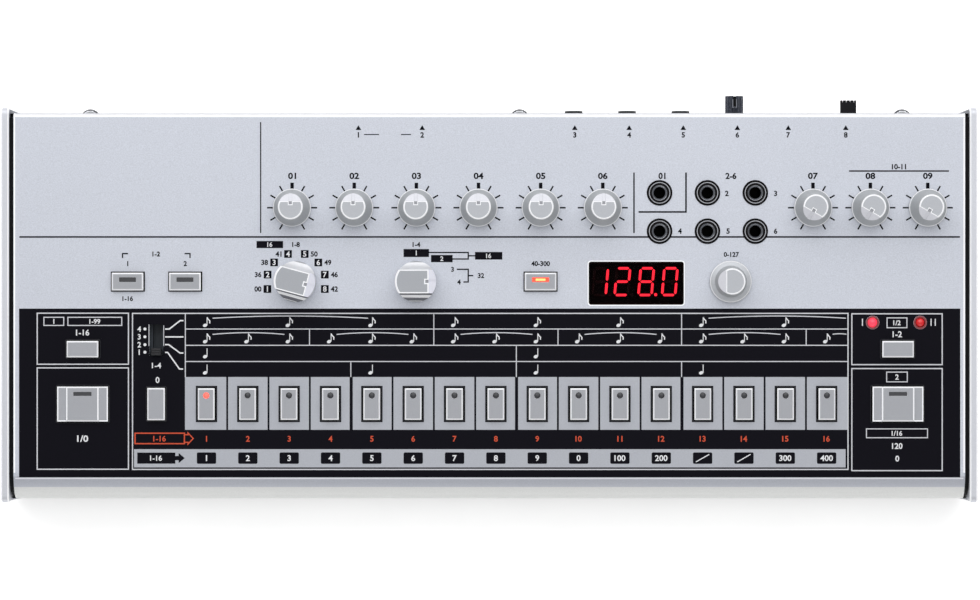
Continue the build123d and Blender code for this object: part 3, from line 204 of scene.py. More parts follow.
# sheet and cheeks
SILVER = finish_of("panel_silver", (208, 212, 222), amount=0.09, **SATIN)
# painted highlight: the rear bend near white, as if it mirrored the lamp behind
REAR_BEND_HIGHLIGHT = finish_of("rear_bend_painted_highlight", (244, 245, 248), rough=0.4, metal=0.3, grain=0.5, amount=0.02)
# painted shade and painted sheen for the front bend: a darker and a lighter copy of the panel's
# silver, as if it mirrored dark and bright surroundings
BEND_SHADE = finish_of("bend_painted_shade", (190, 193, 202), amount=0.05, **SATIN)
BEND_SHEEN = finish_of("bend_painted_sheen", (217, 218, 217), amount=0.04, **SATIN)
# painted highlight, glowing a little: the sheet's cut edges and the cheeks' bevels
EDGE_GLINT = finish_of("edge_painted_highlight", (246, 247, 249), rough=0.4, grain=2.0, amount=0.02, glow=0.15)
# painted shade: mid grey for the wedge at the rear end of a cheek's groove
LAP_SHADE = finish_of("lap_painted_shade", (150, 152, 157), rough=0.5, metal=0.5, grain=0.5, amount=0.05)
CHEEK = finish_of(
    "cheek_silver", (214, 216, 223), rough=0.42, metal=0.4, grain=0.4, amount=0.03, bump=0.005
)
# painted highlight: a pale line across the front bend
BEND_GLINT_LINE = finish_of("bend_stripe_painted_highlight", (228, 229, 236), rough=0.5, grain=0.5)
# painted shade: near black in the groove between a cheek's plate and the cover
GROOVE_SHADE = finish_of("groove_painted_shade", (24, 25, 27), rough=0.6, grain=1.5, amount=0.2, shine=0.08)

# knobs and buttons
KNOB_TOP = finish_of("knob_top", (187, 190, 196), rough=0.4, **CAP_FACE)
# painted highlight, glowing a little: the bevels round knob tops and bands on the selectors' scoops
KNOB_EDGE_GLINT = finish_of("knob_edge_painted_highlight", (244, 245, 248), rough=0.4, grain=1.0, amount=0.02, glow=0.12)
KNOB_SIDE = finish_of("knob_side", (180, 183, 186), rough=0.7, grain=0.5, amount=0.05, shine=0.3)
# painted highlight, glowing a little, on a knob's skirt rim
KNOB_RIM_GLINT = finish_of("knob_rim_painted_highlight", (232, 233, 236), rough=0.5, grain=0.8, amount=0.03, glow=0.08)
# painted sheen on a knob's pointer facet
KNOB_FACET_SHEEN = finish_of("knob_facet_painted_sheen", (228, 229, 236), rough=0.5, amount=0.03, shine=0.3)
KNOB_GROOVE = finish_of("knob_groove", (160, 162, 168), rough=0.5, grain=0.5, amount=0.05)
KNOB_FLANGE = finish_of("knob_flange", (200, 203, 208), metal=0.2, grain=0.5)
SELECTOR_TOP = finish_of("selector_top", (171, 174, 180), rough=0.4, **CAP_FACE)
# painted highlight, glowing a little, on a selector's pointer facet
SELECTOR_FACET_GLINT = finish_of("selector_facet_painted_highlight", (238, 239, 250), rough=0.4, amount=0.02, glow=0.1)
# painted reflection: the selectors' scoops near white
SCOOP_SHEEN = finish_of("scoop_painted_reflection", (226, 227, 231), rough=0.4, metal=0.2, grain=0.8, amount=0.02)
# painted shade in bands on the selectors' front scoops; the same grey is a painted highlight round
# the volume knob's line
GREY_SHADE_AND_GLINT = finish_of("grey_painted_shade_and_glint", (122, 124, 132), metal=0.2, grain=0.5)
BUTTON_TOP = finish_of("button_top", (169, 171, 177), metal=0.1, grain=0.3, amount=0.03, bump=0.003)
# painted highlight, glowing a little, on the caps' bevels and along the big caps' steps
BUTTON_EDGE_GLINT = finish_of(
    "button_edge", (240, 241, 244), rough=0.4, grain=1.0, amount=0.02, glow=0.14
)
# painted shade: near black on the caps' feet and low faces and on the cut edges of the panel's
# openings
SHADE = finish_of("button_foot", (6, 6, 7), rough=0.8, grain=0.5, amount=0.2, shine=0.0)

# sockets, lights and sliders
DARK = finish_of("dark_plastic", (26, 27, 29), rough=0.5, grain=0.5, amount=0.15, bump=0.004)
JACK = finish_of("jack_black", (13, 13, 15), rough=0.4, grain=0.5, amount=0.15, shine=0.08)
# painted highlight: grey on the black sockets' bevels; as glossy metal they also mirror the lamps
JACK_BEVEL_GLINT = finish_of("jack_bevel_painted_highlight", (150, 152, 158), rough=0.16, metal=0.9, grain=0.5, amount=0.08)
# painted highlight: the thin pale ring on each socket
JACK_RING_GLINT = finish_of("jack_ring_painted_highlight", (176, 178, 184), rough=0.3, metal=0.5, grain=0.5, amount=0.08)
LENS_OFF = finish_of("lens_off", (52, 53, 58), rough=0.3, grain=0.4, amount=0.12, coat=0.3)
LENS_ON = finish_of("lens_on", (255, 74, 52), glow=0.9, **LENS)
LENS_HOT = finish_of("lens_hot", (255, 190, 110), rough=0.25, amount=0.06, glow=0.9)
LENS_PINK = finish_of("lens_pink", (250, 60, 80), glow=0.9, **LENS)
LENS_RIM = finish_of("lens_rim", (132, 34, 40), rough=0.2, amount=0.1, coat=0.6)
STEP_LIT = finish_of("lens_step", (236, 104, 92), rough=0.3, amount=0.1, glow=0.7)
# the unlit right light keeps a faint painted glow
LENS_RED = finish_of("lens_red", (214, 34, 38), coat=0.5, glow=0.15, **LENS)
SLATE = ribbed(finish_of("slate_plastic", (58, 62, 74), grain=0.4, amount=0.1), 40, 0.15)
SLIDER = finish_of("slider_plastic", (26, 26, 31), grain=0.4, amount=0.1, bump=0.004)
POWER_BLACK = finish_of(
    "power_plastic", (12, 12, 16), rough=0.5, grain=0.4, amount=0.1, bump=0.004, shine=0.15
)

# tray, screws and inner parts
TRAY = finish_of("tray_plastic", (38, 39, 42), rough=0.55, grain=0.5, amount=0.12, bump=0.02)
RUBBER = finish_of("foot_rubber", (20, 20, 21), rough=0.8, grain=0.4, amount=0.15, bump=0.02)
STEEL = finish_of("screw_steel", (58, 60, 66), metal=0.8, grain=0.5, amount=0.08, bump=0.003)
# bright steel for the battery contacts and the USB socket, and a painted highlight on the tops of
# the screw domes
BRIGHT_STEEL_AND_GLINT = finish_of(
    "bright_steel_and_glint", (206, 208, 212), rough=0.25, metal=0.8, grain=0.5, amount=0.05
)
BOARD = finish_of("circuit_board", (28, 84, 52), rough=0.4, grain=1.5, amount=0.15, coat=0.3)
SPEAKER = finish_of("speaker_steel", (60, 60, 62), rough=0.4, metal=0.5, grain=0.8, amount=0.1)
CONTROL = finish_of("control_plastic", (52, 60, 70), rough=0.5, grain=0.5, amount=0.1)

# print and display
BLACK_INK = finish_of("black_ink", (12, 11, 20), amount=0.12, **INKED)
WHITE_INK = finish_of("white_ink", (232, 233, 236), amount=0.03, **INKED)
PALE_INK = finish_of("pale_ink", (213, 214, 220), amount=0.03, **INKED)
ORANGE_INK = finish_of("orange_ink", (208, 86, 60), amount=0.05, **INKED)
# painted shade: dark grey round the openings in the black field
OPENING_SHADE = finish_of("opening_painted_shade", (66, 67, 73), rough=0.5, amount=0.1)
TILE_INK = finish_of("silver_ink", (182, 185, 193), metal=0.3, grain=0.35, amount=0.05, bump=0.004)
SEGMENT_ON = finish_of("segment_on", (238, 46, 66), rough=0.4, grain=0.8, amount=0.08, glow=1.9)
SEGMENT_OFF = finish_of("segment_off", (20, 8, 10), rough=0.6, grain=0.8, amount=0.1, shine=0.1)
MASK = finish_of("display_mask", (7, 5, 9), rough=0.8, grain=0.8, amount=0.2, shine=0.02)


def window_finish():
    """Tinted acrylic: mostly clear, with a weak mirror."""
    mat = bpy.data.materials.new("window_acrylic")
    mat.use_nodes = True
    nodes, links = mat.node_tree.nodes, mat.node_tree.links
    nodes.remove(nodes["Principled BSDF"])
    clear = nodes.new("ShaderNodeBsdfTransparent")
    clear.inputs["Color"].default_value = (0.70, 0.42, 0.44, 1)
    gloss = nodes.new("ShaderNodeBsdfGlossy")
    gloss.inputs["Roughness"].default_value = 0.08
    noise = nodes.new("ShaderNodeTexNoise")
    noise.inputs["Scale"].default_value = 400.0
    ramp = nodes.new("ShaderNodeValToRGB")
    ramp.color_ramp.elements[0].color = (0.001, 0.001, 0.001, 1)
    ramp.color_ramp.elements[1].color = (0.003, 0.003, 0.003, 1)
    mix = nodes.new("ShaderNodeMixShader")
    links.new(noise.outputs["Fac"], ramp.inputs["Fac"])
    links.new(ramp.outputs["Color"], mix.inputs["Fac"])
    links.new(clear.outputs["BSDF"], mix.inputs[1])
    links.new(gloss.outputs["BSDF"], mix.inputs[2])
    links.new(mix.outputs["Shader"], nodes["Material Output"].inputs["Surface"])
    return mat


WINDOW = window_finish()


# ---------------------------------------------------------------- CAD nodes shown as they are
def wear(node, *mats, pick=None):
    """Gives a CAD node its materials. pick(normal, place) returns the one that a face wears."""
    data = frame["nodes"][node].data
    data.materials.clear()
    for m in mats:
        data.materials.append(m)
    for p in data.polygons:
        p.material_index = mats.index(pick(p.normal, local(p.center))) if pick else 0


SHARP = math.radians(28)  # edges over this angle stay sharp, and get the bevel
NEARLY_FLAT = math.radians(1.0)  # faces that differ by less are joined
WELD = 2e-6               # metres between points that are taken as one


def refine(node, *mats, pick=None, edge=0.0, crown=0.0, slot=None):
    """A finer copy of a CAD node in its place: welded, with its small edges broken.

    crown is the width of a band in the second material round the faces of the first.
    """
    data = frame["nodes"][node].data.copy()
    data.name = node + "_fine"
    bm = bmesh.new()
    bm.from_mesh(data)
    bmesh.ops.remove_doubles(bm, verts=bm.verts, dist=WELD)
    bmesh.ops.dissolve_limit(
        bm, angle_limit=NEARLY_FLAT, verts=bm.verts, edges=bm.edges, delimit={"NORMAL"}
    )
    bm.normal_update()
    for face in bm.faces:
        face.smooth = True
        place = local(face.calc_center_median())
        face.material_index = mats.index(pick(face.normal, place)) if pick else 0
    if crown:
        tops = [face for face in bm.faces if face.material_index == 0]
        band = bmesh.ops.inset_region(bm, faces=tops, thickness=crown * MM, use_even_offset=True)
        for face in band["faces"]:
            face.material_index = 1
    for e in bm.edges:
        e.smooth = len(e.link_faces) == 2 and e.calc_face_angle(3.0) < SHARP
    data.materials.clear()
    for m in mats:
        data.materials.append(m)
    bm.to_mesh(data)
    bm.free()
    obj = bpy.data.objects.new(node + "_fine", data)
    bpy.context.scene.collection.objects.link(obj)
    if edge:
        bevel = obj.modifiers.new("edge", "BEVEL")
        bevel.width = edge * MM
        bevel.segments = 2
        bevel.limit_method = "ANGLE"
        bevel.angle_limit = SHARP
        bevel.harden_normals = False
    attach(obj, frame["nodes"][node]["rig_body"])
    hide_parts(node)


SHEET_UNDER = -1.3        # n just under the sheet's inner face
DIM_BEND_OUT = 1.3        # the front bend's band of painted shade starts this far out from the panel
DIM_BEND_RISE = 0.86      # and ends where the normals rise less than this; past it the bend gets a painted sheen


def cover_pick(nrm, p):
    """Painted light on the sheet: painted shade and painted sheen in bands down the front bend, a
    painted highlight on the rear bend, and painted shade on the cut edges of the panel's openings.
    """
    rise = nrm.dot(UP)
    if p.y < BEND_W - DIM_BEND_OUT:
        return BEND_SHEEN if rise < DIM_BEND_RISE else BEND_SHADE
    if p.y > COVER_HIGH.y - REAR_BEND and 0.1 < rise < 0.99:
        return REAR_BEND_HIGHLIGHT
    inside = abs(p.x) < HALF - 1.0 and p.y < COVER_HIGH.y - 4.0
    return SHADE if inside and abs(rise) < 0.3 and SHEET_UNDER < p.z < 0.0 else SILVER


CHEEK_SLAB = 2.5          # thickness of a cheek's plate
PLATE_IN = span("right_cheek")[1].x - CHEEK_SLAB
LAP = 0.6                 # the wedges at both ends of the groove: the front one keeps the cheek's silver, the rear one gets a mid grey painted shade


def cheek_pick(nrm, p):
    """Painted shade in the groove between plate and cover, near black, and on the wedge at its rear
    end, mid grey; painted highlights on the plate's bevels.
    """
    if abs(p.x) < PLATE_IN - 0.02:
        if p.y > COVER_HIGH.y - LAP:
            return LAP_SHADE
        return GROOVE_SHADE if p.y > COVER_LOW.y + LAP else CHEEK
    return EDGE_GLINT if 0.4 < abs(nrm.x) < 0.95 else CHEEK


def screw_pick(nrm, p):
    """Painted highlight: the domes at the rear are bright where they face up."""
    return BRIGHT_STEEL_AND_GLINT if p.y > COVER_HIGH.y and nrm.dot(UP) > 0.55 else STEEL


wear("top_cover", SILVER, BEND_SHEEN, SHADE, REAR_BEND_HIGHLIGHT, BEND_SHADE, pick=cover_pick)
for cheek in ("left_cheek", "right_cheek"):
    wear(cheek, CHEEK, GROOVE_SHADE, EDGE_GLINT, LAP_SHADE, pick=cheek_pick)
wear("case_screws", STEEL, BRIGHT_STEEL_AND_GLINT, pick=screw_pick)
for node, mat in {
    "bottom_case": TRAY, "battery_cover": TRAY, "rubber_feet": RUBBER,
    "control_board": BOARD, "jack_board": BOARD,
    "rotary_controls": CONTROL, "tact_switches": CONTROL, "slide_switches": CONTROL,
    "speaker": SPEAKER, "battery_contacts": BRIGHT_STEEL_AND_GLINT,
    "display_window": WINDOW, "display_module": MASK,
    "midi_sockets": DARK, "usb_socket": BRIGHT_STEEL_AND_GLINT,
}.items():
    wear(node, mat)


# ---------------------------------------------------------------- knobs
SMALL = [
    "accent_knob", "bass_drum_knob", "snare_drum_knob", "tom_knob", "cymbal_knob", "hihat_knob",
]
EFFECT = ["drive_knob", "delay_time_knob", "delay_depth_knob"]
LEVEL = 0.99              # rise of a normal over which a face counts as level
TOP_DEPTH = 0.06          # a level face this near to a knob's highest point is its top
BEVEL_DEPTH = 0.27        # faces this near to it are the bevel round the top, which gets a painted highlight
RIM_HEIGHT = 1.7          # the sloping faces under this height are the skirt's rim, which gets a painted highlight
SELECTOR_BAR = 7.4        # width of a selector's bar
SELECTOR_TURNS = {"instrument_selector": 105, "mode_selector": 90}


def knob_pick(node):
    """Faces of a turned knob: top, bevel with a painted highlight, facet with a painted sheen, rim
    with a painted highlight, side, flange and notch.
    """
    top = span(node)[1].z

    def pick(nrm, p):
        rise = nrm.dot(UP)
        if rise > LEVEL:
            return KNOB_TOP if p.z > top - TOP_DEPTH else KNOB_GROOVE
        if p.z > top - BEVEL_DEPTH:
            return KNOB_EDGE_GLINT
        if 0.69 < rise < 0.8 and p.z > top - 5.0:
            return KNOB_FACET_SHEEN
        if 0.5 < rise < 0.85 and p.z < RIM_HEIGHT:
            return KNOB_RIM_GLINT
        return KNOB_FLANGE if rise > 0.9 else KNOB_SIDE

    return pick


def selector_pick(node, turn):
    """As knob_pick, with a painted highlight on the facet, a painted reflection on the scoops, and
    bands of painted shade and painted reflection on the scooped side that faces the front.
    """
    top = span(node)[1].z
    at = axis_at(node.replace("_selector", "_turn"))
    turn = math.radians(turn)

    def pick(nrm, p):
        rise = nrm.dot(UP)
        if rise > LEVEL:
            return SELECTOR_TOP if p.z > top - TOP_DEPTH else KNOB_GROOVE
        if p.z > top - BEVEL_DEPTH:
            return KNOB_EDGE_GLINT
        if 0.64 < rise < 0.71 and p.z > top - 4.0:
            return SELECTOR_FACET_GLINT
        # bands out from the bar's side: painted shade next to it and from 1.35 to 2.3 mm out,
        # painted reflection between and beyond
        out = (p.x - at[0]) * math.cos(turn) - (p.y - at[1]) * math.sin(turn) - SELECTOR_BAR / 2
        if out > 0.02 and rise > 0.1:
            return GREY_SHADE_AND_GLINT if out < 0.5 or 1.35 < out < 2.3 else KNOB_EDGE_GLINT
        return SCOOP_SHEEN

    return pick


KNOB_MATS = (KNOB_TOP, KNOB_EDGE_GLINT, KNOB_FACET_SHEEN, KNOB_SIDE, KNOB_GROOVE, KNOB_FLANGE, KNOB_RIM_GLINT)
SELECTOR_MATS = (SELECTOR_TOP, KNOB_EDGE_GLINT, SELECTOR_FACET_GLINT, SCOOP_SHEEN, GREY_SHADE_AND_GLINT, KNOB_GROOVE)
# a band crown wide round each top gets the painted highlight of the bevel
for name in SMALL + EFFECT + ["value_knob"]:
    refine(name, *KNOB_MATS, pick=knob_pick(name), edge=0.08, crown=0.25, slot="knob_plastic")
for name, turn in SELECTOR_TURNS.items():
    pick = selector_pick(name, turn)
    refine(name, *SELECTOR_MATS, pick=pick, edge=0.1, crown=0.36, slot="knob_plastic")
VOLUME_TOP = span("volume_knob")[1].z
VOLUME_U = axis_at("volume_turn")[0]


def volume_pick(nrm, p):
    """Painted shade: the floor of the groove along the volume knob's highest side is black."""
    floor_of_groove = nrm.dot(UP) > 0.98 and p.z < VOLUME_TOP - 0.2 and abs(p.x - VOLUME_U) < 0.5
    return JACK if floor_of_groove else SLATE


refine("volume_knob", SLATE, JACK, pick=volume_pick, edge=0.08, slot="slider_plastic")
refine("power_slider", POWER_BLACK, edge=0.06, slot="slider_plastic")
refine("scale_slider", SLIDER, edge=0.06, slot="slider_plastic")


# ---------------------------------------------------------------- buttons
STEPS = ["step_button_%02d" % (k + 1) for k in range(16)]
OTHERS = [
    "run_stop_button", "tap_button", "pattern_clear_button", "pattern_group_button",
    "function_button", "menu_button", "step_loop_button", "tempo_button",
]


def cap_pick(node):
    """Faces of a cap: its top and sides, a painted highlight on its bevel, and painted shade on its
    foot and on level faces below the top.
    """
    top = span(node)[1].z

    def pick(nrm, p):
        rise = nrm.dot(UP)
        if p.z < 0.05:
            return SHADE
        if rise > 0.98:
            return BUTTON_TOP if p.z > top - 0.7 else SHADE
        return BUTTON_EDGE_GLINT if rise > 0.2 or p.z > top - 0.6 else BUTTON_TOP

    return pick


CAP_MATS = (BUTTON_TOP, BUTTON_EDGE_GLINT, SHADE)
for name in STEPS + OTHERS:
    refine(name, *CAP_MATS, pick=cap_pick(name), edge=0.06, slot="button_plastic")


# ---------------------------------------------------------------- sockets and indicator lights
def halves(node):
    """Middles (u, w) of the left and the right half of a CAD node."""
    pts = [local(v.co) for v in frame["nodes"][node].data.vertices]
    middle = (min(p.x for p in pts) + max(p.x for p in pts)) / 2
    places = []
    for part in ([p for p in pts if p.x <= middle], [p for p in pts if p.x > middle]):
        us, ws = [p.x for p in part], [p.y for p in part]
        places.append(((min(us) + max(us)) / 2, (min(ws) + max(ws)) / 2))
    return places


LIGHTS = halves("indicator_leds")
BETWEEN_LIGHTS = (LIGHTS[0][0] + LIGHTS[1][0]) / 2


def ring_pick(nrm, p):
    """Painted highlights on the bevels of a socket's ring and at the mouth of its bore."""
    return JACK_BEVEL_GLINT if 0.3 < nrm.dot(UP) < 0.9 and p.z > -0.7 else JACK


def light_pick(nrm, p):
    """The left light is lit; the right one isn't, but keeps a faint painted glow."""
    return LENS_PINK if p.x < BETWEEN_LIGHTS else LENS_RED


refine("trigger_jacks", JACK, JACK_BEVEL_GLINT, pick=ring_pick, edge=0.12, slot="socket_plastic")
refine("audio_jacks", DARK, slot="socket_plastic")
refine("indicator_leds", LENS_RED, LENS_PINK, pick=light_pick, slot="led_lens")


# ---------------------------------------------------------------- print and small flat pieces
class Flat:
    """Thin closed shapes on the panel, gathered to one piece."""

    def __init__(self, name, mat, low, high, body="case", slot=None):
        self.name, self.mat, self.body, self.slot = name, mat, body, slot
        self.low, self.high = low, high
        self.verts, self.faces = [], []

    def add(self, low_pts, faces):
        """Faces index the points of the foot. A copy of it on top and walls close the shape."""
        base, m = len(self.verts), len(low_pts)
        self.verts += [panel(u, w, self.low) for u, w in low_pts]
        self.verts += [panel(u, w, self.high) for u, w in low_pts]
        walls = {}
        for f in faces:
            self.faces.append([base + i for i in reversed(f)])
            self.faces.append([base + m + i for i in f])
            for i, j in zip(f, f[1:] + f[:1]):
                walls[(i, j)] = True
        for i, j in walls:
            if (j, i) not in walls:
                self.faces.append([base + i, base + j, base + m + j, base + m + i])

    def poly(self, pts):
        self.add(pts, [list(range(len(pts)))])

    def rect(self, u0, w0, u1, w1):
        self.poly([(u0, w0), (u1, w0), (u1, w1), (u0, w1)])

    def bar(self, p, q, width):
        """A straight line of constant width from p to q."""
        p, q = Vector(p), Vector(q)
        d = (q - p).normalized()
        s = Vector((-d.y, d.x)) * (width / 2)
        self.poly([tuple(p - s), tuple(q - s), tuple(q + s), tuple(p + s)])

    def path(self, pts, width):
        """A line of constant width through points, mitred."""
        pts = [Vector(p) for p in pts]
        left, right = [], []
        for i, p in enumerate(pts):
            d0 = (p - pts[i - 1]).normalized() if i else (pts[1] - p).normalized()
            d1 = (pts[i + 1] - p).normalized() if i + 1 < len(pts) else d0
            t = (d0 + d1).normalized()
            s = Vector((-t.y, t.x)) * (width / 2 / max(0.3, t.dot(d0)))
            left.append(tuple(p + s))
            right.append(tuple(p - s))
        m = len(pts)
        self.add(right + left, [[i, i + 1, m + i + 1, m + i] for i in range(m - 1)])

    def ring(self, outer, inner):
        """What lies between two outlines with as many points each."""
        m = len(outer)
        self.add(outer + inner, [[i, (i + 1) % m, m + (i + 1) % m, m + i] for i in range(m)])

    def frame(self, u0, w0, u1, w1, t):
        """The outline of a rectangle, t wide, inside its sides."""
        self.ring(
            [(u0, w0), (u1, w0), (u1, w1), (u0, w1)],
            [(u0 + t, w0 + t), (u1 - t, w0 + t), (u1 - t, w1 - t), (u0 + t, w1 - t)],
        )

    def holed(self, u0, w0, u1, w1, holes, extra_w=()):
        """A rectangle without some rectangles, each (u0, w0, u1, w1)."""
        us = sorted({u0, u1, *[h[0] for h in holes], *[h[2] for h in holes]})
        ws = sorted({w0, w1, *extra_w, *[h[1] for h in holes], *[h[3] for h in holes]})
        pts = [(u, w) for w in ws for u in us]
        cells = []
        for b in range(len(ws) - 1):
            for a in range(len(us) - 1):
                mu, mw = (us[a] + us[a + 1]) / 2, (ws[b] + ws[b + 1]) / 2
                if not any(h[0] < mu < h[2] and h[1] < mw < h[3] for h in holes):
                    i = b * len(us) + a
                    cells.append([i, i + 1, i + 1 + len(us), i + len(us)])
        self.add(pts, cells)

    def text(self, word, u, w, height, wide=1.0):
        """A number in the built-in typeface, its middle at (u, w)."""
        curve = bpy.data.curves.new("number", "FONT")
        curve.body = word
        curve.extrude = 0.5  # only tells the upper points from the lower ones
        curve.resolution_u = 3
        curve.offset = BOLD if self.mat is BLACK_INK else BOLD_LIGHT
        carrier = bpy.data.objects.new("number", curve)
        mesh = bpy.data.meshes.new_from_object(carrier)
        xs = [v.co.x for v in mesh.vertices]
        ys = [v.co.y for v in mesh.vertices]
        k = height / (max(ys) - min(ys))
        mx, my = (max(xs) + min(xs)) / 2, (max(ys) + min(ys)) / 2
        base = len(self.verts)
        for v in mesh.vertices:
            n = self.high if v.co.z > 0 else self.low
            self.verts.append(panel(u + (v.co.x - mx) * k * wide, w + (v.co.y - my) * k, n))
        self.faces += [[base + i for i in p.vertices] for p in mesh.polygons]
        bpy.data.objects.remove(carrier)
        bpy.data.curves.remove(curve)
        bpy.data.meshes.remove(mesh)

    def done(self):
        """Makes the piece, without the points that no face uses."""
        mesh = bpy.data.meshes.new(self.name)
        mesh.from_pydata(self.verts, [], self.faces)
        used = bmesh.new()
        used.from_mesh(mesh)
        loose = [v for v in used.verts if not v.link_faces]
        bmesh.ops.delete(used, geom=loose, context="VERTS")
        used.to_mesh(mesh)
        used.free()
        mesh.materials.append(self.mat)
        obj = bpy.data.objects.new(self.name, mesh)
        bpy.context.scene.collection.objects.link(obj)
        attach(obj, self.body)


def grown(box, by):
    """A rectangle (u0, w0, u1, w1) with its sides moved out."""
    return (box[0] - by, box[1] - by, box[2] + by, box[3] + by)


def rounded(u0, w0, u1, w1, r, steps=4):
    """Points round a rectangle whose corners have the radius r."""
    pts = []
    for cu, cw, a in (
        (u1 - r, w1 - r, 0), (u0 + r, w1 - r, 90), (u0 + r, w0 + r, 180), (u1 - r, w0 + r, 270),
    ):
        for i in range(steps + 1):
            t = math.radians(a + 90 * i / steps)
            pts.append((cu + r * math.cos(t), cw + r * math.sin(t)))
    return pts


def round_pts(u, w, r, count=24, stretch=1.0, lean=0.0):
    """Points round a circle, or round an ellipse that is stretched along u and then leans."""
    c, s = math.cos(lean), math.sin(lean)
    pts = []
    for i in range(count):
        t = 2 * math.pi * i / count
        x, y = r * stretch * math.cos(t), r * math.sin(t)
        pts.append((u + x * c - y * s, w + x * s + y * c))
    return pts


# bottom and top of the layers of print over the panel, each on the one before
INK = (0.004, 0.016)
OVER = (0.016, 0.028)
OVER2 = (0.028, 0.040)
OVER3 = (0.040, 0.052)

SOCKET_RING = 3.85        # radius of a socket's ring
RIM_OUT, RIM_IN = 3.36, 3.14  # radii of the thin painted highlight line on it
low, high = span("trigger_jacks", OVER_PANEL)
jack_ring_glints = Flat("jack_ring_glints", JACK_RING_GLINT, high.z + 0.003, high.z + 0.015, slot="socket_plastic")
for u in (low.x + SOCKET_RING, (low.x + high.x) / 2, high.x - SOCKET_RING):
    for w in (low.y + SOCKET_RING, high.y - SOCKET_RING):
        jack_ring_glints.ring(round_pts(u, w, RIM_OUT, 40), round_pts(u, w, RIM_IN, 40))
jack_ring_glints.done()

black = Flat("print_black", BLACK_INK, *INK)
tiles = Flat("print_tiles", TILE_INK, *OVER)
white = Flat("print_white", WHITE_INK, *OVER)
pale = Flat("print_lines", PALE_INK, *OVER)
orange = Flat("print_orange", ORANGE_INK, *OVER)
boxes = Flat("print_boxes", BLACK_INK, *OVER2)
top_white = Flat("print_box_numbers", WHITE_INK, *OVER3)
LINE = 0.42               # width of the thin printed lines
BOLD = 0.034              # thickens the strokes of dark numbers
BOLD_LIGHT = 0.024        # and of light ones
TALL, MEDIUM, SHORT, TINY = 2.05, 1.75, 1.6, 1.5  # heights of printed numbers

# ---------------------------------------------------------------- print: the silver part
# rules: across the panel, beside the level knobs, round the first socket, over the delay knobs
black.rect(-148.21, 21.13, 148.46, 21.64)
black.rect(-72.31, 22.63, -71.94, 57.64)
black.rect(45.40, 22.63, 45.87, 41.71)
black.path([(62.04, 41.71), (62.04, 29.27), (47.09, 29.27)], 0.52)
black.rect(113.45, 41.96, 144.99, 42.41)

# markers of what is plugged in at the rear
for i, u in enumerate((-41.29, -21.16, 26.97, 44.12, 61.19, 78.25, 94.30, 112.44)):
    black.poly([(u - 0.9, 55.12), (u + 0.9, 55.12), (u, 56.63)])
    black.text(str(i + 1), u, 53.57, MEDIUM)
black.rect(-39.52, 53.54, -34.79, 53.85)
black.rect(-27.85, 53.54, -24.70, 53.85)

# ticks round the turned knobs, 30 degrees apart, and their numbers
TICK_IN, TICK_OUT = 6.0, 7.9
TICK_WIDE, TICK_THIN = 1.1, 0.48  # the middle tick, and the others
for i, name in enumerate(SMALL + EFFECT):
    cu, cw = axis_at(name.replace("_knob", "_turn"))
    for k in range(-5, 6):
        t = math.radians(30 * k)
        c, d = Vector((cu, cw)), Vector((math.sin(t), math.cos(t)))
        black.bar(c + d * TICK_IN, c + d * TICK_OUT, TICK_THIN if k else TICK_WIDE)
    black.text("%02d" % (i + 1), cu, 40.64, TALL, wide=1.15)

# numbers round the instrument selector, and what stands beside them
DIAL = [
    (-69.99, 4.97), (-69.92, 9.51), (-67.87, 13.36), (-63.49, 16.01),
    (-58.22, 16.01), (-53.93, 13.33), (-51.88, 9.51), (-51.88, 4.97),
]
BESIDE = ["00", "36", "38", "41", "50", "49", "46", "42"]
DIAL_BOX = 1.22           # half the side of a number's box
BESIDE_OUT = 3.0          # from its middle to the number beside it
for k, (u, w) in enumerate(DIAL):
    black.poly(rounded(*grown((u, w, u, w), DIAL_BOX), 0.1, 2))
    white.text(str(k + 1), u, w, MEDIUM)
    black.text(BESIDE[k], u - BESIDE_OUT if k < 4 else u + BESIDE_OUT, w, 1.7)
black.rect(-73.43, 17.87, -65.04, 20.11)
white.text("16", -69.23, 19.00, TINY)
black.text("1-8", -60.97, 19.00, SHORT)

# beside the mode selector
black.text("1-4", -22.99, 19.00, SHORT)
for u0, w0, u1, w1, word in (
    (-27.06, 15.06, -19.02, 17.58, "1"),
    (-18.39, 13.42, -11.58, 15.69, "2"),
    (-4.51, 14.24, 4.10, 16.64, "16"),
):
    black.rect(u0, w0, u1, w1)
    white.text(word, (u0 + u1) / 2, (w0 + w1) / 2, TINY)
black.path([(-19.02, 16.48), (-6.65, 16.48), (-6.65, 14.43), (-11.58, 14.43)], LINE)
black.bar((-6.65, 15.44), (-4.51, 15.44), LINE)
black.text("3", -11.61, 11.18, SHORT)
black.text("4", -9.56, 7.18, SHORT)
black.path([(-10.25, 11.18), (-6.65, 11.18), (-6.65, 7.18), (-8.14, 7.18)], LINE)
black.bar((-6.65, 9.19), (-5.08, 9.19), LINE)
black.text("32", -2.62, 9.19, SHORT)

# over and under the three light buttons and the value knob
black.path([(-115.69, 14.74), (-115.69, 16.13), (-113.95, 16.13)], LINE)
black.path([(-96.13, 16.13), (-94.40, 16.13), (-94.40, 14.74)], LINE)
for u, w, word in (
    (-105.06, 16.01, "1-2"), (-114.05, 12.98, "1"), (-95.91, 12.98, "2"),
    (-114.05, 1.94, "1-16"), (16.18, 12.98, "40-300"), (76.36, 15.85, "0-127"),
):
    black.text(word, u, w, SHORT)

# beside the trigger sockets
for u, w, word in (
    (60.12, 23.23, "4"), (75.32, 23.23, "5"), (90.30, 23.23, "6"),
    (74.91, 35.12, "2"), (90.30, 35.12, "3"),
):
    black.text(word, u, w, MEDIUM)
black.text("01", 54.47, 40.64, TALL)
black.text("2-6", 76.23, 40.64, TALL)
black.text("10-11", 129.22, 43.54, MEDIUM)

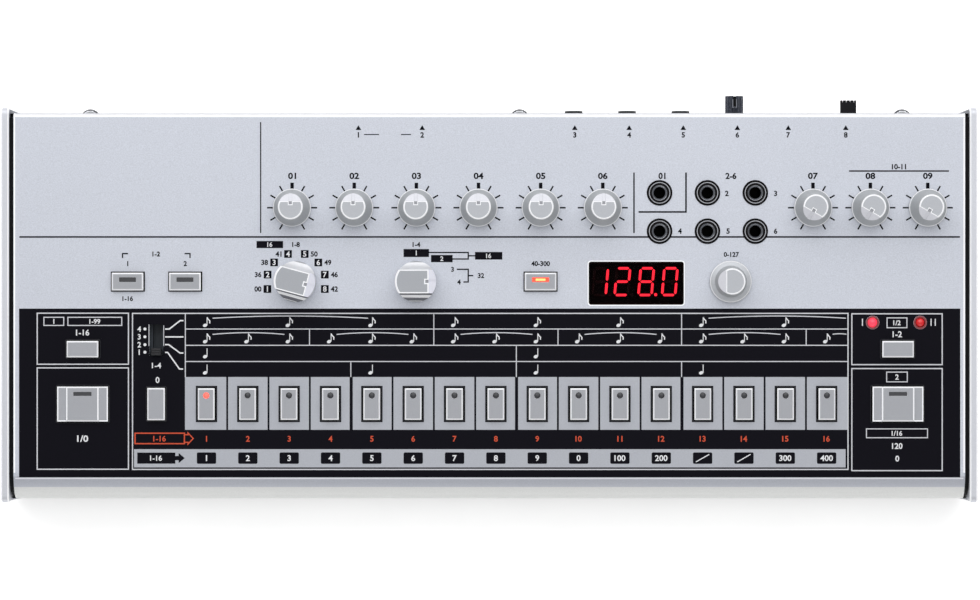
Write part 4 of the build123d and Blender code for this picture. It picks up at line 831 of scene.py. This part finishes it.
# ---------------------------------------------------------------- print: the black field
FIELD = (-148.33, -54.42, 148.55, -1.21)
CAP_GAP = 0.375           # gap round a cap
GAP_RIM = 0.10            # metal between an opening and the print, painted dark grey as shade
RIM = 0.35                # print that follows an opening's rounded shape
CORNER = 0.5              # corner radius of an opening
SLIDER_SLOT = (-107.22, -16.15, -102.80, -6.15)
LIGHT_R = 1.5             # radius of an indicator light
LIGHT_RING = 2.1          # and of the glossy ring round it
LIGHT_SQUARE = 2.5        # half the side of the square left for both in the field


def opening(node):
    """The panel's opening round a cap."""
    low, high = span(node, OVER_PANEL)
    return grown((low.x, low.y, high.x, high.y), CAP_GAP)


def rim(flat, hole, grow, corner=CORNER):
    """Print between a rounded opening and the square hole left round it."""
    flat.ring(rounded(*grown(hole, grow), 0.02), rounded(*hole, corner))


light_rings = Flat("indicator_rings", LENS_RIM, 0.004, 0.14, slot="led_lens")
for u, w in LIGHTS:
    light_rings.ring(round_pts(u, w, LIGHT_RING, 32), round_pts(u, w, LIGHT_R + 0.06, 32))
light_rings.done()

caps = {n: opening(n) for n in STEPS + OTHERS}
in_field = [hole for hole in caps.values() if hole[3] < FIELD[3]]
holes = [grown(hole, RIM) for hole in in_field + [SLIDER_SLOT]]
holes += [grown((u, w, u, w), LIGHT_SQUARE) for u, w in LIGHTS]
black.holed(*FIELD, holes, extra_w=[BEND_W - d for d in (0.0, 0.4, 0.8, 1.2)])
opening_edges = Flat("opening_edges", OPENING_SHADE, *OVER, slot="panel_metal")
for hole in in_field:
    rim(black, hole, RIM)
    opening_edges.ring(rounded(*grown(hole, GAP_RIM), CORNER + GAP_RIM), rounded(*hole, CORNER))
opening_edges.done()
rim(black, SLIDER_SLOT, RIM, 0.1)
for u, w in LIGHTS:
    inner = round_pts(u, w, LIGHT_RING + 0.05, 32)
    outer = []
    for q in inner:
        reach = max(abs(q[0] - u), abs(q[1] - w))
        outer.append((u + (q[0] - u) * LIGHT_SQUARE / reach, w + (q[1] - w) * LIGHT_SQUARE / reach))
    black.ring(outer, inner)

FRAME = 0.36              # width of the white outlines
for box in (
    (-142.78, -18.94, -113.64, -2.48), (-142.78, -52.06, -113.64, -19.73),
    (-112.72, -52.12, 113.32, -2.54),
    (114.17, -19.07, 143.03, -2.67), (114.17, -52.50, 143.03, -19.95),
):
    pale.frame(*box, FRAME)

# the scale chart: lines, bars, notes and slurs
CHART = -95.88            # u of its left line
CHART_RIGHT = 113.32 - FRAME
THIN = 0.15               # half the width of its lines
pale.rect(CHART - THIN, -22.79, CHART + THIN, -2.54 - FRAME)
for w in (-7.65, -12.79, -17.90):
    pale.rect(CHART + THIN, w - THIN, CHART_RIGHT, w + THIN)
for u, w0, w1 in (
    (-17.50, -12.69, -2.67), (60.65, -12.69, -2.67), (60.65, -22.79, -17.96),
    (-56.71, -12.69, -7.74), (21.67, -12.69, -7.74), (99.95, -12.69, -7.74),
    (8.52, -22.79, -12.85), (-43.68, -22.79, -17.96),
):
    pale.rect(u - THIN, w0, u + THIN, w1)

STEP_AT = [(low.x + high.x) / 2 for low, high in (span(n, OVER_PANEL) for n in STEPS)]
PITCH = (STEP_AT[-1] - STEP_AT[0]) / (len(STEPS) - 1)


def note(u, w, flag):
    """A note: its head at the foot of the stem."""
    white.poly(round_pts(u - 0.45, w - 1.05, 0.52, 16, 1.35, math.radians(22)))
    white.rect(u + 0.05, w - 1.0, u + 0.30, w + 1.55)
    if flag:
        hook = ((0.2, 1.45), (0.55, 0.85), (1.05, 0.35), (1.0, -0.45))
        white.path([(u + x, w + y) for x, y in hook], 0.34)


def slur(u0, u1, w, rise):
    """A flat arch over the notes from u0 to u1."""
    places = [i / 16 for i in range(17)]
    pale.path([(u0 + (u1 - u0) * t, w + rise * 4 * t * (1 - t)) for t in places], 0.3)


for u in STEP_AT[::2]:
    note(u, -5.44, True)
slur(-87.27, -38.26, -4.24, 0.7)
slur(69.14, 112.50, -4.24, 0.7)
for u in STEP_AT:
    note(u, -10.58, True)
for k in range(0, 15, 3):
    slur(STEP_AT[k] + 1.9, STEP_AT[k + 2] - 1.5, -9.35, 0.55)
slur(STEP_AT[15] + 1.9, CHART_RIGHT - 0.3, -9.29, 0.15)
for u in STEP_AT[::8]:
    note(u, -15.31, False)
for u in STEP_AT[::4]:
    note(u, -20.42, False)

# the scale slider's places
for w, word in ((-7.65, "4"), (-10.11, "3"), (-12.60, "2"), (-14.97, "1")):
    white.text(word, -110.42, w, MEDIUM)
    white.poly(round_pts(-108.62, w, 0.48, 16))
white.path([(-102.28, -7.65), (-100.96, -7.65), (-97.49, -5.00), (-96.48, -5.00)], LINE)
white.bar((-102.28, -10.14), (-96.48, -10.14), LINE)
white.path([(-102.28, -12.57), (-101.15, -12.57), (-97.55, -15.22), (-96.48, -15.22)], LINE)
white.path([(-102.28, -15.03), (-101.46, -15.03), (-97.74, -20.26), (-96.61, -20.26)], LINE)
for u0, u1, w in ((-107.46, -107.24, -6.23), (-102.79, -102.57, -6.54)):
    pale.rect(u0, -13.01, u1, w)
white.text("1-4", -104.97, -19.16, MEDIUM, wide=1.1)
white.text("0", -104.65, -23.73, 1.95)

# tiles under the steps, orange numbers, silver strip
TILE_W = (-39.44, -22.79)
GROUP_GAP, TILE_GAP = 0.5, 0.3  # from a tile's side to the pitch's, at a group of four and in it
for k, u in enumerate(STEP_AT):
    left = u - PITCH / 2 + (GROUP_GAP if k % 4 == 0 else TILE_GAP)
    right = u + PITCH / 2 - (GROUP_GAP if k % 4 == 3 else TILE_GAP)
    if k == 0:
        left = CHART - 0.1
    if k == 15:
        right = CHART_RIGHT
    tiles.holed(left, TILE_W[0], right, TILE_W[1], [grown(caps[STEPS[k]], RIM)])
    orange.text(str(k + 1), u, -42.28, 1.85)
tiles.rect(-112.06, -51.30, 112.38, -45.56)
STRIP = [str(i) for i in range(1, 10)] + ["0", "100", "200", "/", "/", "300", "400"]
MID = -48.37              # w of the strip's middle
for u, word in zip(STEP_AT, STRIP):
    boxes.poly(rounded(u - 3.05, MID - 1.8, u + 3.05, MID + 1.8, 0.45))
    if word == "/":
        top_white.bar((u - 2.1, MID - 1.2), (u + 2.1, MID + 1.2), 0.3)
    else:
        top_white.text(word, u, MID, 1.9, wide=1.05)
HEAD = 1.6                # half the width of the arrow's head
arrow = [
    (-111.05, MID - 1.75), (-99.00, MID - 1.75), (-99.07, MID - 0.66), (-97.99, MID - 0.66),
    (-97.99, MID - HEAD), (-96.04, MID), (-97.99, MID + HEAD), (-97.99, MID + 0.66),
    (-99.07, MID + 0.66), (-99.00, MID + 1.75), (-111.05, MID + 1.75),
]
boxes.add(arrow, [[0, 1, 2, 8, 9, 10], [2, 3, 7, 8], [3, 4, 5, 6, 7]])
top_white.text("1-16", -105.12, MID, MEDIUM)
orange.frame(-111.94, -44.01, -95.98, -40.32, 0.4)
tip = [
    (-95.98, -40.99), (-95.03, -40.99), (-95.03, -40.45), (-93.39, -42.18),
    (-95.03, -43.92), (-95.03, -43.38), (-95.98, -43.38),
]
orange.path(tip, 0.36)
orange.text("1-16", -104.02, -42.22, 1.85)

# marks of the two big buttons and of the pattern buttons
for box in (
    (-140.64, -6.67, -134.08, -3.80), (-133.07, -6.67, -115.78, -3.80),
    (125.31, -7.40, 131.87, -3.99), (125.18, -24.46, 131.99, -21.08),
    (118.81, -42.09, 138.37, -39.00),
):
    pale.frame(*box, 0.3)
white.text("1", -137.36, -5.25, SHORT)
white.text("1-99", -124.43, -5.25, SHORT)
white.text("1-16", -128.27, -8.78, 1.95)
white.text("1/0", -128.27, -42.22, 2.1, wide=1.15)
white.text("1/2", 128.59, -5.69, SHORT)
white.rect(117.55, -6.64, 117.86, -4.40)
white.rect(139.19, -6.64, 139.50, -4.40)
white.rect(140.51, -6.64, 140.83, -4.40)
white.text("1-2", 128.68, -9.29, 1.95)
white.text("2", 128.59, -22.79, 1.7)
white.text("1/16", 128.59, -40.54, SHORT)
white.text("120", 128.68, -44.55, 1.9)
white.text("0", 128.68, -48.52, 1.9)

# painted highlights, glowing a little, along the sheet's cut edges at both ends and round the
# display's window
EDGE = 0.55               # their width
WINDOW_EDGE = 0.34        # and the width of the one round the display's window
edges = Flat("sheet_edges", EDGE_GLINT, *INK, slot="panel_metal")
for side in (-1, 1):
    u0, u1 = sorted((side * (HALF - 0.05), side * (HALF - EDGE)))
    edges.rect(u0, BEND_W, u1, COVER_HIGH.y - REAR_BEND)
# a painted highlight across the front bend, just in front of the black field
bend_highlight_line = Flat("bend_highlight_line", BEND_GLINT_LINE, *INK, slot="panel_metal")
bend_highlight_line.rect(-HALF + EDGE, -54.99, HALF - EDGE, -54.58)
bend_highlight_line.done()
rear_line = Flat("rear_line", PALE_INK, -1.4, -0.7, slot="panel_metal")
rear_line.rect(-HALF + EDGE, COVER_HIGH.y - 0.18, HALF - EDGE, COVER_HIGH.y)
rear_line.done()
window_low, window_high = span("display_window", -0.5)
window = (window_low.x, window_low.y, window_high.x, window_high.y)
edges.ring(rounded(*grown(window, WINDOW_EDGE), 1.0), rounded(*window, 0.8))
edges.done()
for flat in (black, tiles, white, pale, orange, boxes, top_white):
    flat.done()

# painted highlight: a pale outline round the line down the volume knob's side
volume_body = frame["nodes"]["volume_knob"]["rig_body"]
volume_glint = Flat(
    "volume_line_glint", GREY_SHADE_AND_GLINT, VOLUME_TOP - 0.12, VOLUME_TOP - 0.01, volume_body, "slider_plastic"
)
left, right = VOLUME_U - 0.6, VOLUME_U + 0.6
near, far = COVER_HIGH.y + 2.65, COVER_HIGH.y + 5.2
volume_glint.path([(left, far), (left, near), (right, near), (right, far)], 0.25)
volume_glint.done()


# ---------------------------------------------------------------- lights in the caps
LIGHT_UP = 2.7            # from the middle of a cap to its light's
LIGHT_SINK = 0.02         # of the dome's zero height in the cap
DOME = [(0.96, -0.85), (0.96, -0.25), (0.8, -0.05), (0.5, 0.06), (0.0, 0.1)]  # radius, height
DOME_POINTS = 32          # points round it


def dome_light(name, mat, at, body):
    """A round lens: DOME turned about UP, with a flat foot and a point for its top."""
    verts, faces = [], []
    for r, h in DOME[:-1]:
        for i in range(DOME_POINTS):
            t = 2 * math.pi * i / DOME_POINTS
            out = ACROSS * math.cos(t) + SLOPE * math.sin(t)
            verts.append(at + UP * (h * MM) + out * (r * MM))
    tip = len(verts)
    verts.append(at + UP * (DOME[-1][1] * MM))
    for foot in range(0, tip, DOME_POINTS):
        for i in range(DOME_POINTS):
            a, b = foot + i, foot + (i + 1) % DOME_POINTS
            over = [b + DOME_POINTS, a + DOME_POINTS] if foot + DOME_POINTS < tip else [tip]
            faces.append([a, b] + over)
    faces.append(list(reversed(range(DOME_POINTS))))
    mesh = bpy.data.meshes.new(name)
    mesh.from_pydata(verts, [], faces)
    mesh.materials.append(mat)
    for p in mesh.polygons:
        p.use_smooth = True
    mesh.set_sharp_from_angle(angle=math.radians(40))
    obj = bpy.data.objects.new(name, mesh)
    bpy.context.scene.collection.objects.link(obj)
    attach(obj, body)


for k, name in enumerate(STEPS):
    low, high = span(name)
    at = panel((low.x + high.x) / 2, (low.y + high.y) / 2 + LIGHT_UP, high.z - LIGHT_SINK)
    mat = STEP_LIT if k == 0 else LENS_OFF
    dome_light("step_light_%02d" % (k + 1), mat, at, frame["nodes"][name]["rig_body"])


SLOT_GAP = 0.04           # between a light bar and its slot
BAR_LOW, BAR_HIGH = 0.85, 0.2  # its foot and its face, under the cap's top


def bar_light(name, node, size, rise, mat, lift=0.0):
    """A flat light bar in the slot of a cap, with rounded ends."""
    low, high = span(node)
    u, w, top = (low.x + high.x) / 2, (low.y + high.y) / 2 + rise, high.z
    half_u, half_w = size[0] / 2 - SLOT_GAP, size[1] / 2 - SLOT_GAP
    body = frame["nodes"][node]["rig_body"]
    flat = Flat(name, mat, top - BAR_LOW + lift, top - BAR_HIGH + lift, body, "led_lens")
    flat.poly(rounded(u - half_u, w - half_w, u + half_u, w + half_w, 0.2))
    flat.done()


SHOULDER, SHOULDER_DROP = 2.9, 0.6  # lower band at each side of a big cap
CAP_LINE = 0.4            # width of the painted highlight lines along its steps
LINE_END = 0.45           # from their ends to the cap's sides
for node in ("run_stop_button", "tap_button"):
    low, high = span(node, OVER_PANEL)
    body = frame["nodes"][node]["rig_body"]
    lines = Flat(node + "_lines", BUTTON_EDGE_GLINT, high.z - 0.02, high.z + 0.01, body, "button_plastic")
    step_z = high.z - SHOULDER_DROP
    bands = Flat(node + "_bands", BUTTON_EDGE_GLINT, step_z - 0.02, step_z + 0.01, body, "button_plastic")
    for side, end in ((1, low.x), (-1, high.x)):
        step = end + side * SHOULDER
        middle = step + side * CAP_LINE / 2
        lines.bar((middle, low.y + LINE_END), (middle, high.y - LINE_END), CAP_LINE)
        outer, front, rear = end + side * CAP_LINE / 2, low.y + CAP_LINE / 2, high.y - CAP_LINE / 2
        bands.path([(step, front), (outer, front), (outer, rear), (step, rear)], CAP_LINE)
    lines.done()
    bands.done()

# size of a light bar's slot, and its place over the cap's middle
BIG_SLOT = ((5.8, 1.3), 3.2)
SMALL_SLOT = ((5.4, 1.5), 0.6)
HOT_SPOT = ((3.2, 0.8), 0.6)
bar_light("run_stop_light", "run_stop_button", *BIG_SLOT, LENS_OFF)
bar_light("tap_light", "tap_button", *BIG_SLOT, LENS_OFF)
bar_light("menu_light", "menu_button", *SMALL_SLOT, LENS_OFF)
bar_light("step_loop_light", "step_loop_button", *SMALL_SLOT, LENS_OFF)
bar_light("tempo_light", "tempo_button", *SMALL_SLOT, LENS_ON)
bar_light("tempo_glow", "tempo_button", *HOT_SPOT, LENS_HOT, 0.03)

# ---------------------------------------------------------------- the display's digits
module_top = span("display_module")[1].z
DIGIT_H, DIGIT_W, STROKE, LEAN = 9.2, 4.9, 0.76, math.tan(math.radians(5))
SEGMENT_GAP = 0.26
POINT_R, POINT_OUT = 0.5, 3.0  # a decimal point, and its place beside its digit's middle
digit_mid = (window_low.y + window_high.y) / 2 + 0.5
SEGMENTS = {"0": "abcdef", "1": "bc", "2": "abged", "8": "abcdefg"}
lit = Flat("digits_lit", SEGMENT_ON, module_top + 0.02, module_top + 0.12)
unlit = Flat("digits_unlit", SEGMENT_OFF, module_top + 0.02, module_top + 0.06)


def segment(flat, u, letter):
    """One of the seven strokes of a digit, a to g, with pointed ends."""
    h, v = DIGIT_W / 2 - STROKE / 2, DIGIT_H / 4 - STROKE / 4
    middles = {
        "a": (0, 2 * v, True), "g": (0, 0, True), "d": (0, -2 * v, True),
        "f": (-h, v, False), "b": (h, v, False), "e": (-h, -v, False), "c": (h, -v, False),
    }
    x, y, flat_way = middles[letter]
    s = STROKE / 2
    long = (h if flat_way else v) - SEGMENT_GAP
    pts = [(-long, 0), (-long + s, -s), (long - s, -s), (long, 0), (long - s, s), (-long + s, s)]
    if not flat_way:
        pts = [(-q, p) for p, q in pts]
    flat.poly([(u + x + p + (y + q) * LEAN, digit_mid + y + q) for p, q in pts])


for u, word in ((35.07, "1"), (42.04, "2"), (49.55, "8"), (57.02, "0")):
    for letter in "abcdefg":
        segment(lit if letter in SEGMENTS[word] else unlit, u, letter)
    point = round_pts(u + POINT_OUT, digit_mid - DIGIT_H / 2 + POINT_R, POINT_R, 14)
    (lit if word == "8" else unlit).poly(point)
lit.done()
unlit.done()

# ---------------------------------------------------------------- camera
CAMERA_DISTANCE = 1.3     # metres over the panel
VIEW_U, VIEW_W = 0.22, 1.5  # the place on the panel under it
SENSOR, FOCAL = 36.0, 151.4
cam_data = bpy.data.cameras.new("camera")
cam_data.sensor_width = SENSOR
cam_data.lens = FOCAL
camera = bpy.data.objects.new("camera", cam_data)
bpy.context.scene.collection.objects.link(camera)
camera.matrix_world = Matrix.Translation(panel(VIEW_U, VIEW_W) + UP * CAMERA_DISTANCE) @ Matrix(
    (ACROSS, SLOPE, UP)
).transposed().to_4x4()
bpy.context.scene.camera = camera
bpy.context.scene.view_settings.view_transform = "Standard"

# ---------------------------------------------------------------- light and floor
SKY = 0.36                # strength of the even light from all sides
world = bpy.data.worlds.new("world")
bpy.context.scene.world = world
world.use_nodes = True
world.node_tree.nodes["Background"].inputs["Color"].default_value = (1, 1, 1, 1)
world.node_tree.nodes["Background"].inputs["Strength"].default_value = SKY


def area(name, at, target, size, power):
    """A rectangular lamp that faces its target: places and (width, height) in metres, watts."""
    data = bpy.data.lights.new(name, "AREA")
    data.energy = power
    data.shape = "RECTANGLE"
    data.size, data.size_y = size
    lamp = bpy.data.objects.new(name, data)
    bpy.context.scene.collection.objects.link(lamp)
    lamp.location = at
    lamp.rotation_euler = (Vector(target) - Vector(at)).to_track_quat("-Z", "Y").to_euler()


area("rear_card", (-0.05, 0.85, 1.05), (0, 0, 0.02), (2.4, 1.2), 15.4)
area("top_soft", (0.10, 0.15, 1.25), (0, 0, 0.02), (1.1, 1.1), 2.6)
area("front_card", (0.0, -1.5, 0.375), (0, 0, 0.03), (3.0, 0.7), 6.8)

FLOOR_HALF = 3.0          # half its side, in metres
FLOOR_DROP = 0.0003       # metres under the part's lowest point
FLOOR_GLOW = 0.52         # seen by the camera and in mirrors, but it lights nothing
low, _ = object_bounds()
floor_mesh = bpy.data.meshes.new("floor")
bm = bmesh.new()
bmesh.ops.create_grid(bm, x_segments=8, y_segments=8, size=FLOOR_HALF)
bm.to_mesh(floor_mesh)
bm.free()
floor = bpy.data.objects.new("floor", floor_mesh)
bpy.context.scene.collection.objects.link(floor)
floor.location = (0, 0, low[2] - FLOOR_DROP)
floor_white = finish_of(
    "floor_white", (250, 250, 250), rough=0.9, grain=20.0, amount=0.01, glow=FLOOR_GLOW, shine=0.1
)
nodes, links = floor_white.node_tree.nodes, floor_white.node_tree.links
seen = nodes.new("ShaderNodeLightPath")
last = seen.outputs["Is Camera Ray"]
for ray in ("Is Glossy Ray", "Is Transmission Ray"):
    either = nodes.new("ShaderNodeMath")
    either.operation = "MAXIMUM"
    links.new(last, either.inputs[0])
    links.new(seen.outputs[ray], either.inputs[1])
    last = either.outputs[0]
only_seen = nodes.new("ShaderNodeMath")
only_seen.operation = "MULTIPLY"
only_seen.inputs[1].default_value = FLOOR_GLOW
links.new(last, only_seen.inputs[0])
links.new(only_seen.outputs[0], nodes["Principled BSDF"].inputs["Emission Strength"])
floor.data.materials.append(floor_white)
